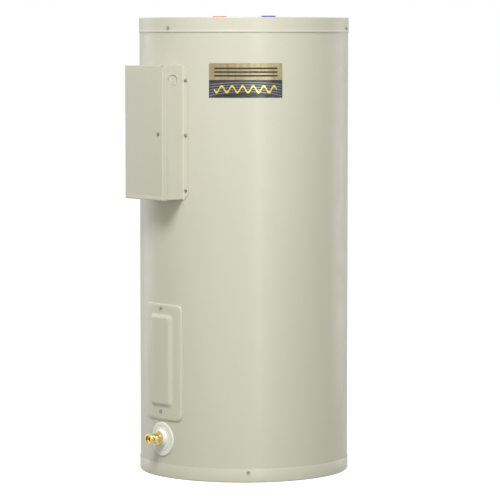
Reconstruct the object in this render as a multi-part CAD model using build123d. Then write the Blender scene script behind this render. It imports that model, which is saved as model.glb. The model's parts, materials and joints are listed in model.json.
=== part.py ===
from build123d import *
import math
import os

# Electric tank water heater. Millimetres, +Z up, origin at the centre of the base on the floor.
# The control box, the access panel and the drain face the front, -Y. Azimuth is measured from the
# front towards +X.

# ---- casing ----
height = 1197.0
jacket_r = 276.0
sheet = 1.0
gap = 0.3
pan_sheet = 0.9
pan_r = jacket_r + gap + pan_sheet
top_skirt = 39.0
base_skirt = 36.0
bead = 0.8
bead_height = 5.0
top_edge_round = 2.6
base_edge_round = 4.0
floor_sheet = 1.5
jacket_z = (7.0, height - 6.0)
top_screw_azimuths = [5.8 + 120.0 * k for k in range(3)]
base_screw_azimuths = [52.8 + 120.0 * k for k in range(3)]
top_screw_z = 1170.0
base_screw_z = 27.0

# ---- badge ----
badge_azimuth = 51.5
badge_arc = 191.0
badge_z = (991.0, 1079.0)
badge_foil = 0.4

# ---- tank ----
tank_r = 228.0
tank_wall = 2.4
tank_rim_z = 1118.0
top_rise = 42.0
bottom_rim_z = 60.0
bottom_rise = 52.0
head_flange = 18.0
port_spacing = 203.2
port_x = port_spacing / 2
port_bore_r = 12.2
port_r = 17.0
port_top = height + 2.0
port_step_z = height - 29.0
port_ring_r = 19.0
port_ring_top = height + 5.0
dip_r = 10.7
dip_bore_r = 9.0
dip_end_z = 190.0
anode_spud_r = 20.0
anode_thread_r = 13.2
anode_flats = 27.0
anode_opening_r = 24.2

# ---- elements and controls ----
element_levels = {"upper": 790.0, "lower": 210.0}
element_length = 190.0
element_spud_r = 22.0
element_thread_r = 16.0
thermostat_levels = {"upper": 880.0, "lower": 303.0}
thermostat_size = (50.0, 28.0, 90.0)
thermostat_back_y = -231.0
high_limit_z = (926.0, 1000.0)
dial_r = 9.0
button_r = 5.0

# ---- compartments cut in the jacket and the foam ----
upper_room = (60.0, 738.0, 1060.0)
lower_room = (56.0, 181.0, 440.0)
wire_channel_x = (22.0, 50.0)
drain_opening_r = 30.0
relief_opening_r = 22.0

# ---- control box ----
cover_half = 79.0
cover_z = (728.0, 1073.0)
cover_front_y = -335.0
cover_lip = 16.0
plate = 1.2
swing_gap = 1.3
box_left_x = -(cover_half - plate - 0.4)
box_right_x = cover_half - plate - swing_gap
box_z = (cover_z[0] + plate + 0.6, cover_z[1] - plate - 0.6)
box_front_y = -332.0
flange_half = 91.0
flange_screw_x = 84.8
flange_screw_levels = [752.0, 894.0, 1035.0]
hinge_x = -81.0
hinge_y = -316.5
hinge_levels = [800.0, 998.0]
knuckle_r = 2.6
hinge_pin_r = 1.3
running_gap = 0.05
cover_screw_x = 62.0
cover_screw_z = 899.0
knockout_y = -300.0
knockout_z = 1035.0
knockout_r = 14.1

# ---- lower access panel ----
panel_half = 73.5
panel_z = (150.0, 455.0)
panel_proud = 4.5
field_half = 46.0
field_z = (184.0, 429.0)
field_rise = 5.5
field_draft = 2.1
panel_screw_levels = [173.0, 444.0]
panel_corner = 18.0

# ---- drain valve ----
drain_z = 103.5
bezel_z = 100.0
bezel_r = 44.5
bezel_thick = 3.2
hub_r = (25.0, 18.4)
hub_y = (-277.0, -287.7)
flange_back_y = -288.0
flange_front_y = -292.4
barrel_front_y = -313.0
barrel_r = 12.5
neck_r = 8.8
drain_bore_r = 6.5
ball_r = 8.5
ball_bore_r = 5.4
ball_y = -302.8
hose_r = 13.3
hose_bore_r = 9.4
hose_y = (-324.0, -314.5)
stem_r = 3.6

# ---- relief valve on the left side ----
relief_z = 1050.0
relief_x = -303.0
lever_pin_x = -346.0
lever_length = 52.0

BASE = (Align.CENTER, Align.CENTER, Align.MIN)
HEX_SIDES = 6
SKIN_SPAN = (200.0, 300.0)
TANK_SPAN = (200.0, 250.0)


# ---- helpers ----
def rod(radius, start, end):
    """Cylinder from one point to another."""
    axis = Vector(*end) - Vector(*start)
    return Plane(origin=start, z_dir=axis) * Cylinder(radius, axis.length, align=BASE)


def tube(outer, inner, start, end):
    return rod(outer, start, end) - rod(inner, start, end)


def hexagon(across_flats, start, end):
    axis = Vector(*end) - Vector(*start)
    corner_r = across_flats / math.sqrt(3.0)
    outline = RegularPolygon(corner_r, HEX_SIDES)
    return Plane(origin=start, z_dir=axis) * extrude(outline, axis.length)


def block(x_span, y_span, z_span):
    """Box between low and high values on each axis."""
    lows = (x_span[0], y_span[0], z_span[0])
    sizes = [span[1] - span[0] for span in (x_span, y_span, z_span)]
    return Pos(*lows) * Box(*sizes, align=(Align.MIN, Align.MIN, Align.MIN))


def turned(points):
    """Solid turned about Z from a closed outline of (radius, z) points."""
    return revolve(make_face(Plane.XZ * Polyline(*points, close=True)), Axis.Z)


def turned_edges(edges):
    """Solid turned about Z from the edges of a closed outline in (radius, z)."""
    return revolve(make_face([Plane.XZ * edge for edge in edges]), Axis.Z)


def on_wall(azimuth, z, radius):
    """Plane standing on the jacket, its Z pointing outwards."""
    angle = math.radians(azimuth)
    out = (math.sin(angle), -math.cos(angle), 0)
    origin = (radius * out[0], radius * out[1], z)
    return Plane(origin=origin, x_dir=(math.cos(angle), math.sin(angle), 0), z_dir=out)


def wall_hole(azimuth, z, radius, from_r, to_r):
    return on_wall(azimuth, z, from_r) * Cylinder(radius, to_r - from_r, align=BASE)


def front_slab(half_width, z_span, corner, y_span):
    """Rounded rectangle seen from the front, extruded along Y."""
    height_z = z_span[1] - z_span[0]
    outline = RectangleRounded(2 * half_width, height_z, corner)
    middle = (0, y_span[1], (z_span[0] + z_span[1]) / 2)
    return Plane(origin=middle, x_dir=(1, 0, 0), z_dir=(0, -1, 0)) * extrude(outline, y_span[1] - y_span[0])


def upright(radius, z_span):
    return rod(radius, (0, 0, z_span[0]), (0, 0, z_span[1]))


SCREW_SHANK_R = 2.0
SCREW_HOLE_R = 2.3
SCREW_SHANK = 6.0
SCREW_WASHER_R = 4.6
SCREW_WASHER = 0.8
SCREW_HEAD = 3.6
SCREW_FLATS = 6.4


def sheet_screw():
    """Hex washer-head sheet screw; its washer sits on Z = 0 and its shank points down."""
    shank = rod(SCREW_SHANK_R, (0, 0, -SCREW_SHANK), (0, 0, 0))
    washer = rod(SCREW_WASHER_R, (0, 0, 0), (0, 0, SCREW_WASHER))
    head = hexagon(SCREW_FLATS, (0, 0, SCREW_WASHER), (0, 0, SCREW_HEAD))
    head = chamfer(head.faces().sort_by(Axis.Z)[-1].edges(), 0.4)
    return shank + washer + head


def smooth_route(points):
    """Path of straight runs joined by the widest tangent arcs that the runs allow."""
    share = 0.45
    radii = []
    for before, here, after in zip(points, points[1:], points[2:]):
        first = Vector(*here) - Vector(*before)
        second = Vector(*after) - Vector(*here)
        half_turn = math.radians(first.get_angle(second)) / 2
        radii.append(share * min(first.length, second.length) / math.tan(half_turn))
    return FilletPolyline(*points, radius=radii), radii


WIRE_R = 1.9


def wire(points):
    path, radii = smooth_route(points)
    start = Plane(origin=points[0], z_dir=path % 0)
    solid = sweep(start * Circle(WIRE_R), path=path)
    print("wire radii", [round(r, 1) for r in radii], "length", round(path.length, 1),
          "volume ratio", round(solid.volume / (math.pi * WIRE_R ** 2 * path.length), 4))
    return solid


def group(solids):
    return Compound(children=list(solids))


nodes = {}


# ---- casing ----
def room_cut(room, y_span=(-290.0, -190.0)):
    half, low, high = room
    return block((-half, half), y_span, (low, high))


def make_jacket():
    body = upright(jacket_r, jacket_z) - upright(jacket_r - sheet, jacket_z)
    body -= room_cut((upper_room[0] - 5, upper_room[1] + 5, upper_room[2] - 5))
    body -= room_cut((lower_room[0] - 1, lower_room[1] + 1, lower_room[2] - 1))
    body -= wall_hole(0, drain_z, drain_opening_r, *SKIN_SPAN)
    body -= wall_hole(-90, relief_z, relief_opening_r, *SKIN_SPAN)
    return body - screw_holes() - panel_screw_holes()


def casing_screw_planes(azimuths, z, radius):
    return [on_wall(azimuth, z, radius) for azimuth in azimuths]


def flange_screw_planes():
    azimuth = math.degrees(math.asin(flange_screw_x / jacket_r))
    seat = jacket_r + gap + plate
    return [on_wall(side * azimuth, z, seat) for side in (-1, 1) for z in flange_screw_levels]


PANEL_SCREW_SEAT_R = jacket_r + panel_proud


def panel_screw_planes():
    return [on_wall(0, z, PANEL_SCREW_SEAT_R) for z in panel_screw_levels]


def screw_holes():
    """Clearance holes of every screw that passes the jacket."""
    planes = casing_screw_planes(top_screw_azimuths, top_screw_z, pan_r)
    planes += casing_screw_planes(base_screw_azimuths, base_screw_z, pan_r)
    planes += flange_screw_planes()
    depth = 10.0
    return [plane * Pos(0, 0, -depth) * Cylinder(SCREW_HOLE_R, depth + 4, align=BASE) for plane in planes]


def panel_screw_holes():
    depth = 26.0
    planes = panel_screw_planes()
    return [plane * Pos(0, 0, -depth) * Cylinder(SCREW_HOLE_R, depth + 4, align=BASE) for plane in planes]


def make_top_pan():
    low = height - top_skirt
    inner = pan_r - pan_sheet
    points = [(0, height - pan_sheet), (inner, height - pan_sheet), (inner, low), (pan_r + bead, low),
              (pan_r + bead, low + bead_height), (pan_r, low + bead_height + bead), (pan_r, height), (0, height)]
    pan = turned(points)
    rim = pan.edges().filter_by(GeomType.CIRCLE).group_by(Axis.Z)[-1]
    pan = fillet(rim, top_edge_round)
    for x in (-port_x, port_x):
        pan -= rod(port_r + 0.6, (x, 0, height - 5), (x, 0, height + 5))
    pan -= rod(anode_opening_r, (0, 0, height - 5), (0, 0, height + 5))
    return pan - screw_holes()


def make_base_pan():
    inner = pan_r - pan_sheet
    points = [(0, 0), (pan_r, 0), (pan_r, base_skirt), (inner, base_skirt), (inner, floor_sheet), (0, floor_sheet)]
    pan = turned(points)
    rim = pan.edges().filter_by(GeomType.CIRCLE).group_by(Axis.Z)[0]
    pan = fillet(rim, base_edge_round)
    return pan - screw_holes()


def make_badge():
    half = math.degrees(badge_arc / jacket_r) / 2
    inner = jacket_r + gap
    ring = upright(inner + badge_foil, badge_z) - upright(inner, badge_z)
    wedge_angles = [badge_azimuth - half - 90, badge_azimuth + half - 90]
    corners = [(0, 0)]
    reach = jacket_r * 1.3
    for angle in wedge_angles:
        corners.append((reach * math.cos(math.radians(angle)), reach * math.sin(math.radians(angle))))
    wedge = extrude(make_face(Polyline(*corners, close=True)), height)
    return ring & wedge


# ---- tank ----
def dish_z(radius, rim_z, rim_r, rise):
    """Height of a spherical dish that crowns upwards, at a radius."""
    sphere_r = (rim_r ** 2 + rise ** 2) / (2 * rise)
    return rim_z + rise - sphere_r + math.sqrt(sphere_r ** 2 - radius ** 2)


def dished_head(rim_z, rise):
    outer_r = tank_r - tank_wall - gap
    inner_r = outer_r - tank_wall
    low = rim_z - head_flange
    crown = rim_z + rise
    middle = 0.55
    outer_arc = ThreePointArc((0, crown), (middle * outer_r, dish_z(middle * outer_r, rim_z, outer_r, rise)),
                              (outer_r, rim_z))
    inner_rise = rise - tank_wall
    inner_arc = ThreePointArc((0, crown - tank_wall),
                              (middle * inner_r, dish_z(middle * inner_r, rim_z, inner_r, inner_rise)),
                              (inner_r, rim_z))
    sides = [Line((outer_r, rim_z), (outer_r, low)), Line((outer_r, low), (inner_r, low)),
             Line((inner_r, low), (inner_r, rim_z)), Line((0, crown - tank_wall), (0, crown))]
    return turned_edges([outer_arc, inner_arc] + sides)


def make_tank_shell():
    span = (floor_sheet, tank_rim_z)
    shell = upright(tank_r, span) - upright(tank_r - tank_wall, span)
    for z in element_levels.values():
        shell -= wall_hole(0, z, element_spud_r, *TANK_SPAN)
    shell -= wall_hole(0, drain_z, port_r, *TANK_SPAN)
    return shell - wall_hole(-90, relief_z, port_r, *TANK_SPAN)


def make_top_head():
    head = dished_head(tank_rim_z, top_rise)
    for x, radius in ((-port_x, port_r), (0, anode_spud_r), (port_x, port_r)):
        head -= rod(radius, (x, 0, tank_rim_z - 28.0), (x, 0, height))
    return head


DIP_LIP = 1.5
DIP_LIP_R = 11.6
ANODE_SPUD_BOTTOM = 1150.0
ANODE_SEAT_Z = 1178.0


def make_top_spuds():
    """Hot, cold and anode sockets welded in the top head; the water ports have a step for the dip tube."""
    bottom = 1143.0
    solids = []
    for x in (-port_x, port_x):
        spud = rod(port_r, (x, 0, bottom), (x, 0, port_top))
        spud -= rod(port_bore_r, (x, 0, port_step_z), (x, 0, port_top))
        spud -= rod(DIP_LIP_R + 0.2, (x, 0, port_step_z - DIP_LIP - 0.1), (x, 0, port_step_z))
        spud -= rod(dip_r + gap, (x, 0, bottom), (x, 0, port_step_z))
        solids.append(spud)
    solids.append(tube(anode_spud_r, anode_thread_r + gap, (0, 0, ANODE_SPUD_BOTTOM), (0, 0, ANODE_SEAT_Z)))
    return group(solids)


def make_side_spuds():
    inner_y = -(tank_r - 8.0)
    solids = []
    for z in element_levels.values():
        solids.append(tube(element_spud_r, element_thread_r + gap, (0, inner_y, z), (0, -tank_r - 6.0, z)))
    solids.append(tube(port_r, 10.8, (0, inner_y, drain_z), (0, -tank_r - 20.0, drain_z)))
    solids.append(tube(port_r, 12.3, (inner_y, 0, relief_z), (-tank_r - 20.0, 0, relief_z)))
    return group(solids)


# ---- insulation ----
def make_foam():
    low, high = base_skirt + 2.0, height - pan_sheet - gap
    foam = upright(jacket_r - sheet - 0.4, (low, high))
    clear = 0.5
    foam -= upright(tank_r + clear, (low, tank_rim_z + clear))
    dish_r = tank_r - tank_wall
    crown = tank_rim_z + top_rise + clear
    lid = [Line((0, tank_rim_z), (0, crown)),
           ThreePointArc((0, crown), (dish_r / 2, dish_z(dish_r / 2, tank_rim_z, dish_r, top_rise + clear)),
                         (dish_r, tank_rim_z)),
           Line((dish_r, tank_rim_z), (0, tank_rim_z))]
    foam -= turned_edges(lid)
    for x in (-port_x, port_x):
        foam -= rod(port_r + clear, (x, 0, tank_rim_z), (x, 0, height))
    foam -= rod(anode_opening_r + 1.8, (0, 0, tank_rim_z), (0, 0, height))
    foam -= room_cut(upper_room)
    foam -= room_cut(lower_room)
    foam -= block(wire_channel_x, (-290.0, -246.0), (lower_room[2] - 1, upper_room[1] + 1))
    foam -= wall_hole(0, drain_z, drain_opening_r, *SKIN_SPAN)
    foam -= wall_hole(-90, relief_z, relief_opening_r - 2.0, *SKIN_SPAN)
    return foam - screw_holes() - panel_screw_holes()


def make_panel_insulation():
    half, low, high = lower_room
    side = 4.0
    pad = block((-half + side, half - side), (-300.0, -266.0), (low + side, high - side))
    return pad & upright(jacket_r + panel_proud - plate - gap, (0, height))


# ---- plumbing ----
def make_dip_tube():
    seat = port_step_z - DIP_LIP - 0.1
    lip = tube(DIP_LIP_R, dip_bore_r, (port_x, 0, seat), (port_x, 0, seat + DIP_LIP))
    return lip + tube(dip_r, dip_bore_r, (port_x, 0, dip_end_z), (port_x, 0, seat))


def make_anode_plug():
    shank = rod(anode_thread_r, (0, 0, ANODE_SEAT_Z - 20.0), (0, 0, ANODE_SEAT_Z))
    head = hexagon(anode_flats, (0, 0, ANODE_SEAT_Z), (0, 0, ANODE_SEAT_Z + 10.0))
    return shank + chamfer(head.faces().sort_by(Axis.Z)[-1].edges(), 0.8)


def make_anode_cap():
    disc = fillet(rod(25.5, (0, 0, height), (0, 0, height + 2.6)).edges().group_by(Axis.Z)[-1], 1.5)
    return disc + tube(23.8, 22.4, (0, 0, height - 10.0), (0, 0, height))


def make_port_ring(x):
    ring = tube(port_ring_r, port_r + 0.3, (x, 0, height), (x, 0, port_top))
    cap = tube(port_ring_r, port_bore_r + 0.6, (x, 0, port_top), (x, 0, port_ring_top))
    top = (ring + cap).edges().filter_by(GeomType.CIRCLE).group_by(Axis.Z)[-1]
    return fillet(top, 1.0)


# ---- heating elements ----
ELEMENT_TERMINAL_Y = -tank_r - 28.0


def make_element_head(z):
    """Screw-in head: thread inside the spud, hex against the gasket, terminal face in front."""
    seat = -tank_r - 9.0
    thread = rod(element_thread_r, (0, -tank_r + 8.0, z), (0, seat, z))
    flange = hexagon(38.0, (0, seat, z), (0, seat - 9.0, z))
    flange = chamfer(flange.faces().sort_by(Axis.Y)[0].edges(), 1.0)
    nose = rod(13.0, (0, seat - 9.0, z), (0, seat - 14.0, z))
    head = thread + flange + nose
    for x in (-6.5, 6.5):
        head += rod(3.0, (x, seat - 14.0, z), (x, ELEMENT_TERMINAL_Y, z))
    return head


def make_element_sheath(z):
    """Folded tubular element, both legs ending in the head."""
    start_y = -tank_r + 8.0
    end_y = start_y + element_length
    leg = 9.0
    sheath_r = 4.0
    bend = CenterArc((0, end_y, z), leg, 0, 180)
    path = Line((leg, start_y, z), (leg, end_y, z)) + bend + Line((-leg, end_y, z), (-leg, start_y, z))
    outline = Plane(origin=(leg, start_y, z), z_dir=(0, 1, 0)) * Circle(sheath_r)
    return sweep(outline, path=path)


def make_element_gaskets():
    seat = -tank_r - 9.0
    return group(tube(21.0, element_thread_r + gap, (0, seat + 3.0, z), (0, seat, z))
                 for z in element_levels.values())


# ---- controls ----
def make_thermostat(z):
    width, depth, tall = thermostat_size
    body = block((-width / 2, width / 2), (thermostat_back_y - depth, thermostat_back_y), (z - tall / 2, z + tall / 2))
    body = fillet(body.edges().filter_by(Axis.Y), 3.0)
    step = block((-width / 2, width / 2), (thermostat_back_y - depth, thermostat_back_y - depth + 8.0),
                 (z - tall / 2, z - tall / 2 + 22.0))
    body -= step
    front = thermostat_back_y - depth
    body += tube(dial_r + 3.0, dial_r + gap, (0, front + 2.0, z + 14.0), (0, front - 2.0, z + 14.0))
    return body


def make_dial(z):
    front = thermostat_back_y - thermostat_size[1]
    dial = rod(dial_r, (0, front - gap, z + 14.0), (0, front - 3.5, z + 14.0))
    dial -= block((-7.0, 7.0), (front - 4.0, front - 2.2), (z + 13.2, z + 14.8))
    pointer = block((-0.6, 0.6), (front - 4.0, front - 3.0), (z + 16.5, z + 23.5))
    return dial - pointer


def make_high_limit():
    width, depth, _ = thermostat_size
    low, high = high_limit_z
    front = thermostat_back_y - depth
    body = block((-width / 2, width / 2), (front, thermostat_back_y), (low, high))
    body = fillet(body.edges().filter_by(Axis.Y), 3.0)
    step = block((-width / 2, width / 2), (front, front + 8.0), (high - 20.0, high))
    body -= step
    collar_z = (low + high) / 2 - 4.0
    body += tube(button_r + 3.0, button_r + gap, (0, front, collar_z), (0, front - 3.0, collar_z))
    return body - rod(button_r + gap, (0, front - 1, collar_z), (0, front + 4.0, collar_z))


def make_reset_button():
    front = thermostat_back_y - thermostat_size[1]
    z = sum(high_limit_z) / 2 - 4.0
    button = rod(button_r, (0, front + 1.5, z), (0, front - 6.0, z))
    return fillet(button.faces().sort_by(Axis.Y)[0].edges(), 1.0)


def make_brackets():
    """Spring brackets that press each thermostat on the tank, hooked beside the element spud."""
    width = thermostat_size[0]
    solids = []
    for z in thermostat_levels.values():
        half = width / 2 + gap
        low, high = z - 36.0, z + 36.0
        for side in (-1, 1):
            inner = side * half
            outer = side * (half + 1.2)
            foot = side * (half + 9.0)
            arm = block(sorted((inner, outer)), (thermostat_back_y - 14.0, thermostat_back_y + 1.5), (low, high))
            toe = block(sorted((outer, foot)), (thermostat_back_y + 0.3, thermostat_back_y + 1.5), (low, high))
            tab = block(sorted((inner, side * (half - 4.0))), (0, 0.9), (low + 30.0, high - 30.0))
            tab = Pos(0, thermostat_back_y - thermostat_size[1] - 1.5, 0) * tab
            reach = block(sorted((inner, outer)), (thermostat_back_y - thermostat_size[1] - 1.5,
                                                   thermostat_back_y - 14.0), (low + 30.0, high - 30.0))
            solids.append(arm + toe + tab + reach)
    return group(solids)


TERMINAL_SCREW_R = 3.4


def front_screw(x, y, z):
    """Slotted binding-head screw facing the front, standing on the plane y."""
    head = rod(TERMINAL_SCREW_R, (x, y, z), (x, y - 2.2, z))
    head = fillet(head.faces().sort_by(Axis.Y)[0].edges(), 0.7)
    return head - block((x - 3.0, x + 3.0), (y - 2.4, y - 1.3), (z - 0.4, z + 0.4))


BLOCK_X = (-(cover_half - plate - 0.4) + plate, -49.0)
BLOCK_Y = (-300.0, -273.0)
BLOCK_Z = (950.0, 1022.0)
BLOCK_POLES = [968.0, 986.0, 1004.0]


def make_terminal_block():
    body = fillet(block(BLOCK_X, BLOCK_Y, BLOCK_Z).edges().filter_by(Axis.Y), 1.5)
    for z in BLOCK_POLES:
        body -= block((BLOCK_X[0] + 5.0, BLOCK_X[1] + 1), (BLOCK_Y[0] - 1, BLOCK_Y[0] + 7.0), (z - 6.5, z + 6.5))
    return body


def make_terminal_screws():
    step_y = thermostat_back_y - thermostat_size[1] + 8.0
    solids = []
    for z in thermostat_levels.values():
        for x in (-15.0, 15.0):
            solids.append(front_screw(x, step_y, z - 33.0))
    for x in (-15.0, 15.0):
        solids.append(front_screw(x, step_y, high_limit_z[1] - 9.0))
    for z in element_levels.values():
        for x in (-6.5, 6.5):
            solids.append(front_screw(x, ELEMENT_TERMINAL_Y, z))
    for z in BLOCK_POLES:
        solids.append(front_screw((BLOCK_X[0] + BLOCK_X[1]) / 2 + 4.0, BLOCK_Y[0] + 7.0, z))
    return group(solids)


GROUND_SCREW_Z = 770.0


def make_ground_screw():
    """Hex-head earth screw on the left wall of the control box."""
    wall = box_left_x + plate
    washer = rod(5.2, (wall, -300.0, GROUND_SCREW_Z), (wall + 1.0, -300.0, GROUND_SCREW_Z))
    return washer + hexagon(8.0, (wall + 1.0, -300.0, GROUND_SCREW_Z), (wall + 5.0, -300.0, GROUND_SCREW_Z))


# ---- wiring, routes chosen by hand along the compartments and the channel in the foam ----
WIRE_ROUTES = {
    "wire_black": [[(-49, -286, 1004), (-38, -286, 1004), (-26, -280, 1010), (-18, -264, 1020), (-15, -247, 1015),
                    (-15, -247, 1000)]],
    "wire_red": [[(-49, -286, 986), (-38, -286, 986), (-27, -288, 998), (-10, -284, 1016), (6, -270, 1026),
                  (15, -254, 1027), (15, -247, 1014), (15, -247, 1000)],
                 [(25, -244, 960), (35, -244, 960), (43, -250, 948), (44, -256, 900), (42, -258, 850),
                  (40, -258, 815), (33, -257, 797), (20, -253.6, 790), (9.6, -253.6, 790)],
                 [(6.5, -253.6, 786.8), (6.5, -253.6, 775), (14, -257, 760), (30, -261, 745), (42, -262, 720),
                  (44, -260, 665), (43, -261, 610), (44, -260, 555), (43, -261, 500), (44, -260, 440),
                  (43, -258, 385), (43, -256, 330), (42, -256, 275), (38, -256, 238), (30, -255, 218),
                  (20, -253.6, 210), (9.6, -253.6, 210)]],
    "wire_yellow": [[(-15, -247, 835), (-15, -247, 825), (-22, -250, 812), (-24, -254, 798), (-18, -253.6, 790),
                     (-9.6, -253.6, 790)],
                    [(-15, -247, 258), (-15, -247, 247), (-22, -250, 234), (-24, -254, 219), (-18, -253.6, 210),
                     (-9.6, -253.6, 210)]],
    "wire_blue": [[(15, -247, 835), (15, -247, 824), (26, -244, 812), (32, -242, 790), (33, -248, 762),
                   (34, -258, 725), (33, -263, 670), (34, -263.5, 610), (33, -263, 550), (34, -263.5, 490),
                   (33, -262, 430), (30, -256, 390), (17, -249, 372), (15, -247, 361), (15, -247, 348)]],
}


def make_wire(name):
    return group(wire(points) for points in WIRE_ROUTES[name])


# ---- control box ----
def lidless_box(x_span, y_span, z_span, wall):
    """Box of sheet open at the front and the back."""
    inner_x = (x_span[0] + wall, x_span[1] - wall)
    inner_z = (z_span[0] + wall, z_span[1] - wall)
    return block(x_span, y_span, z_span) - block(inner_x, (y_span[0] - 1, y_span[1] + 1), inner_z)


def hinge_knuckle(z_span, box_side):
    """Barrel with the leaf that joins it to the box wall or to the lip of the cover."""
    barrel = rod(knuckle_r, (hinge_x, hinge_y, z_span[0]), (hinge_x, hinge_y, z_span[1]))
    if box_side:
        leaf = block((-cover_half, box_left_x), (hinge_y, hinge_y + 16.0), z_span)
    else:
        leaf = block((-cover_half, -cover_half + plate), (cover_front_y + cover_lip - 1, hinge_y), z_span)
    bore_r = hinge_pin_r + running_gap
    return barrel + leaf - rod(bore_r, (hinge_x, hinge_y, z_span[0] - 1), (hinge_x, hinge_y, z_span[1] + 1))


KNUCKLE_HALF = 8.0
KNUCKLE_GAP = 0.4
KNUCKLE_END = 22.0
LOCK_TAB = (46.0, 15.0)
CORNER_NOTCH_R = 2.4
FLANGE_CORNER = 12.0
HEM_PROUD = 0.6
HEM_HEIGHT = 8.0
FOLD_R = 1.6


def make_control_box():
    box = lidless_box((box_left_x, box_right_x), (box_front_y, -240.0), box_z, plate)
    box -= upright(jacket_r + gap, (0, height))
    skin = upright(jacket_r + gap + plate, cover_z) - upright(jacket_r + gap, cover_z)
    for side, wall in ((-1, box_left_x), (1, box_right_x)):
        outline = [(wall - side * plate, cover_z[0] + 4), (side * (flange_half - FLANGE_CORNER), cover_z[0]),
                   (side * flange_half, cover_z[0] + FLANGE_CORNER), (side * flange_half, cover_z[1] - FLANGE_CORNER),
                   (side * (flange_half - FLANGE_CORNER), cover_z[1]), (wall - side * plate, cover_z[1] - 4)]
        face = make_face(Plane.XZ * Polyline(*outline, close=True))
        box += skin & extrude(face, 400.0, dir=(0, -1, 0))
    tab_y = (box_front_y, box_front_y + plate)
    tab = block((LOCK_TAB[0], box_right_x), tab_y, (cover_screw_z - LOCK_TAB[1], cover_screw_z + LOCK_TAB[1]))
    box += tab
    for z in hinge_levels:
        box += hinge_knuckle((z - KNUCKLE_END, z - KNUCKLE_HALF - KNUCKLE_GAP), True)
        box += hinge_knuckle((z + KNUCKLE_HALF + KNUCKLE_GAP, z + KNUCKLE_END), True)
    box -= rod(3.3, (cover_screw_x, box_front_y - 1, cover_screw_z), (cover_screw_x, box_front_y + 3, cover_screw_z))
    box -= rod(knockout_r + gap, (box_right_x - 3, knockout_y, knockout_z), (box_right_x + 1, knockout_y, knockout_z))
    return box - screw_holes()


def make_cover():
    y_span = (cover_front_y, cover_front_y + cover_lip)
    shell = block((-cover_half, cover_half), y_span, cover_z)
    shell = fillet(shell.edges().filter_by(Axis.Z).group_by(Axis.Y)[0], FOLD_R)
    inner_z = (cover_z[0] + plate, cover_z[1] - plate)
    inner_y = (cover_front_y + plate, y_span[1] + 1)
    shell -= block((-cover_half + plate, cover_half - plate), inner_y, inner_z)
    hem = block((-cover_half + 2, cover_half - 2), (cover_front_y - HEM_PROUD, cover_front_y + 0.2),
                (cover_z[0] + 1.0, cover_z[0] + 1.0 + HEM_HEIGHT))
    shell += hem
    for z in hinge_levels:
        shell += hinge_knuckle((z - KNUCKLE_HALF, z + KNUCKLE_HALF), False)
    corner = (cover_half - 1.5, cover_z[1] - 1.5)
    shell -= rod(CORNER_NOTCH_R, (corner[0], cover_front_y - 1, corner[1]), (corner[0], cover_front_y + 5, corner[1]))
    hole = rod(2.2, (cover_screw_x, cover_front_y - 1, cover_screw_z), (cover_screw_x, cover_front_y + 3, cover_screw_z))
    return shell - hole


def make_cover_screw():
    seat = Plane(origin=(cover_screw_x, cover_front_y, cover_screw_z), z_dir=(0, -1, 0))
    return seat * sheet_screw()


def make_hinge_pins():
    solids = []
    for z in hinge_levels:
        pin = rod(hinge_pin_r, (hinge_x, hinge_y, z - KNUCKLE_END), (hinge_x, hinge_y, z + KNUCKLE_END))
        head = rod(2.2, (hinge_x, hinge_y, z + KNUCKLE_END), (hinge_x, hinge_y, z + KNUCKLE_END + 1.2))
        solids.append(pin + head)
    return group(solids)


def make_knockout():
    """Nested knockout still in place, with the raised ring of its inner size."""
    outer, inner = box_right_x, box_right_x - plate
    disc = rod(knockout_r, (inner, knockout_y, knockout_z), (outer, knockout_y, knockout_z))
    ring = tube(11.2, 10.4, (outer - 0.5, knockout_y, knockout_z), (outer, knockout_y, knockout_z))
    return disc - ring


# ---- lower access panel ----
def panel_form(inset):
    """Pressed panel: a slab that follows the jacket with a raised, bevelled field."""
    base = front_slab(panel_half - inset, (panel_z[0] + inset, panel_z[1] - inset), panel_corner - inset,
                      (-300.0, -240.0))
    base &= upright(jacket_r + panel_proud - inset, (0, height))
    edge_r = 3.0 - inset
    rim = [edge for edge in base.edges() if edge.center().Y < -(jacket_r - 25) and on_skin(edge, inset)]
    base = fillet(rim, edge_r)
    foot = field_outline(FIELD_FOOT_Y, inset)
    crest = field_outline(FIELD_CREST_Y, inset)
    top_r = jacket_r + panel_proud + field_rise - inset
    return base + (loft([foot, crest]) & upright(top_r, (0, height)))


FIELD_FOOT_Y = -272.0
FIELD_CREST_Y = -290.0
FIELD_CORNER = 12.0


def field_outline(y, inset):
    """Outline of the raised field in a plane across Y; it narrows towards the front."""
    base_r = jacket_r + panel_proud
    side_y = math.sqrt(base_r ** 2 - field_half ** 2)
    half_x = field_half + field_draft * (side_y + y) - inset
    grow_z = field_draft * (base_r + y) - inset
    z_span = (field_z[0] - grow_z, field_z[1] + grow_z)
    corner = max(FIELD_CORNER + field_draft * (side_y + y) / 2, 4.0)
    outline = RectangleRounded(2 * half_x, z_span[1] - z_span[0], corner)
    middle = (0, y + inset, sum(z_span) / 2)
    return Plane(origin=middle, x_dir=(1, 0, 0), z_dir=(0, -1, 0)) * outline


def on_skin(edge, inset):
    """True for an edge that lies on the outer cylinder of the panel."""
    radius = jacket_r + panel_proud - inset
    samples = [edge @ 0.0, edge @ 0.5, edge @ 1.0]
    return all(abs(math.hypot(point.X, point.Y) - radius) < 0.05 for point in samples)


def make_access_panel():
    shell = panel_form(0.0) - panel_form(plate)
    shell -= upright(jacket_r + gap, (0, height))
    return shell - panel_screw_holes()


def make_panel_screws():
    return group(plane * sheet_screw() for plane in panel_screw_planes())


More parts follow.
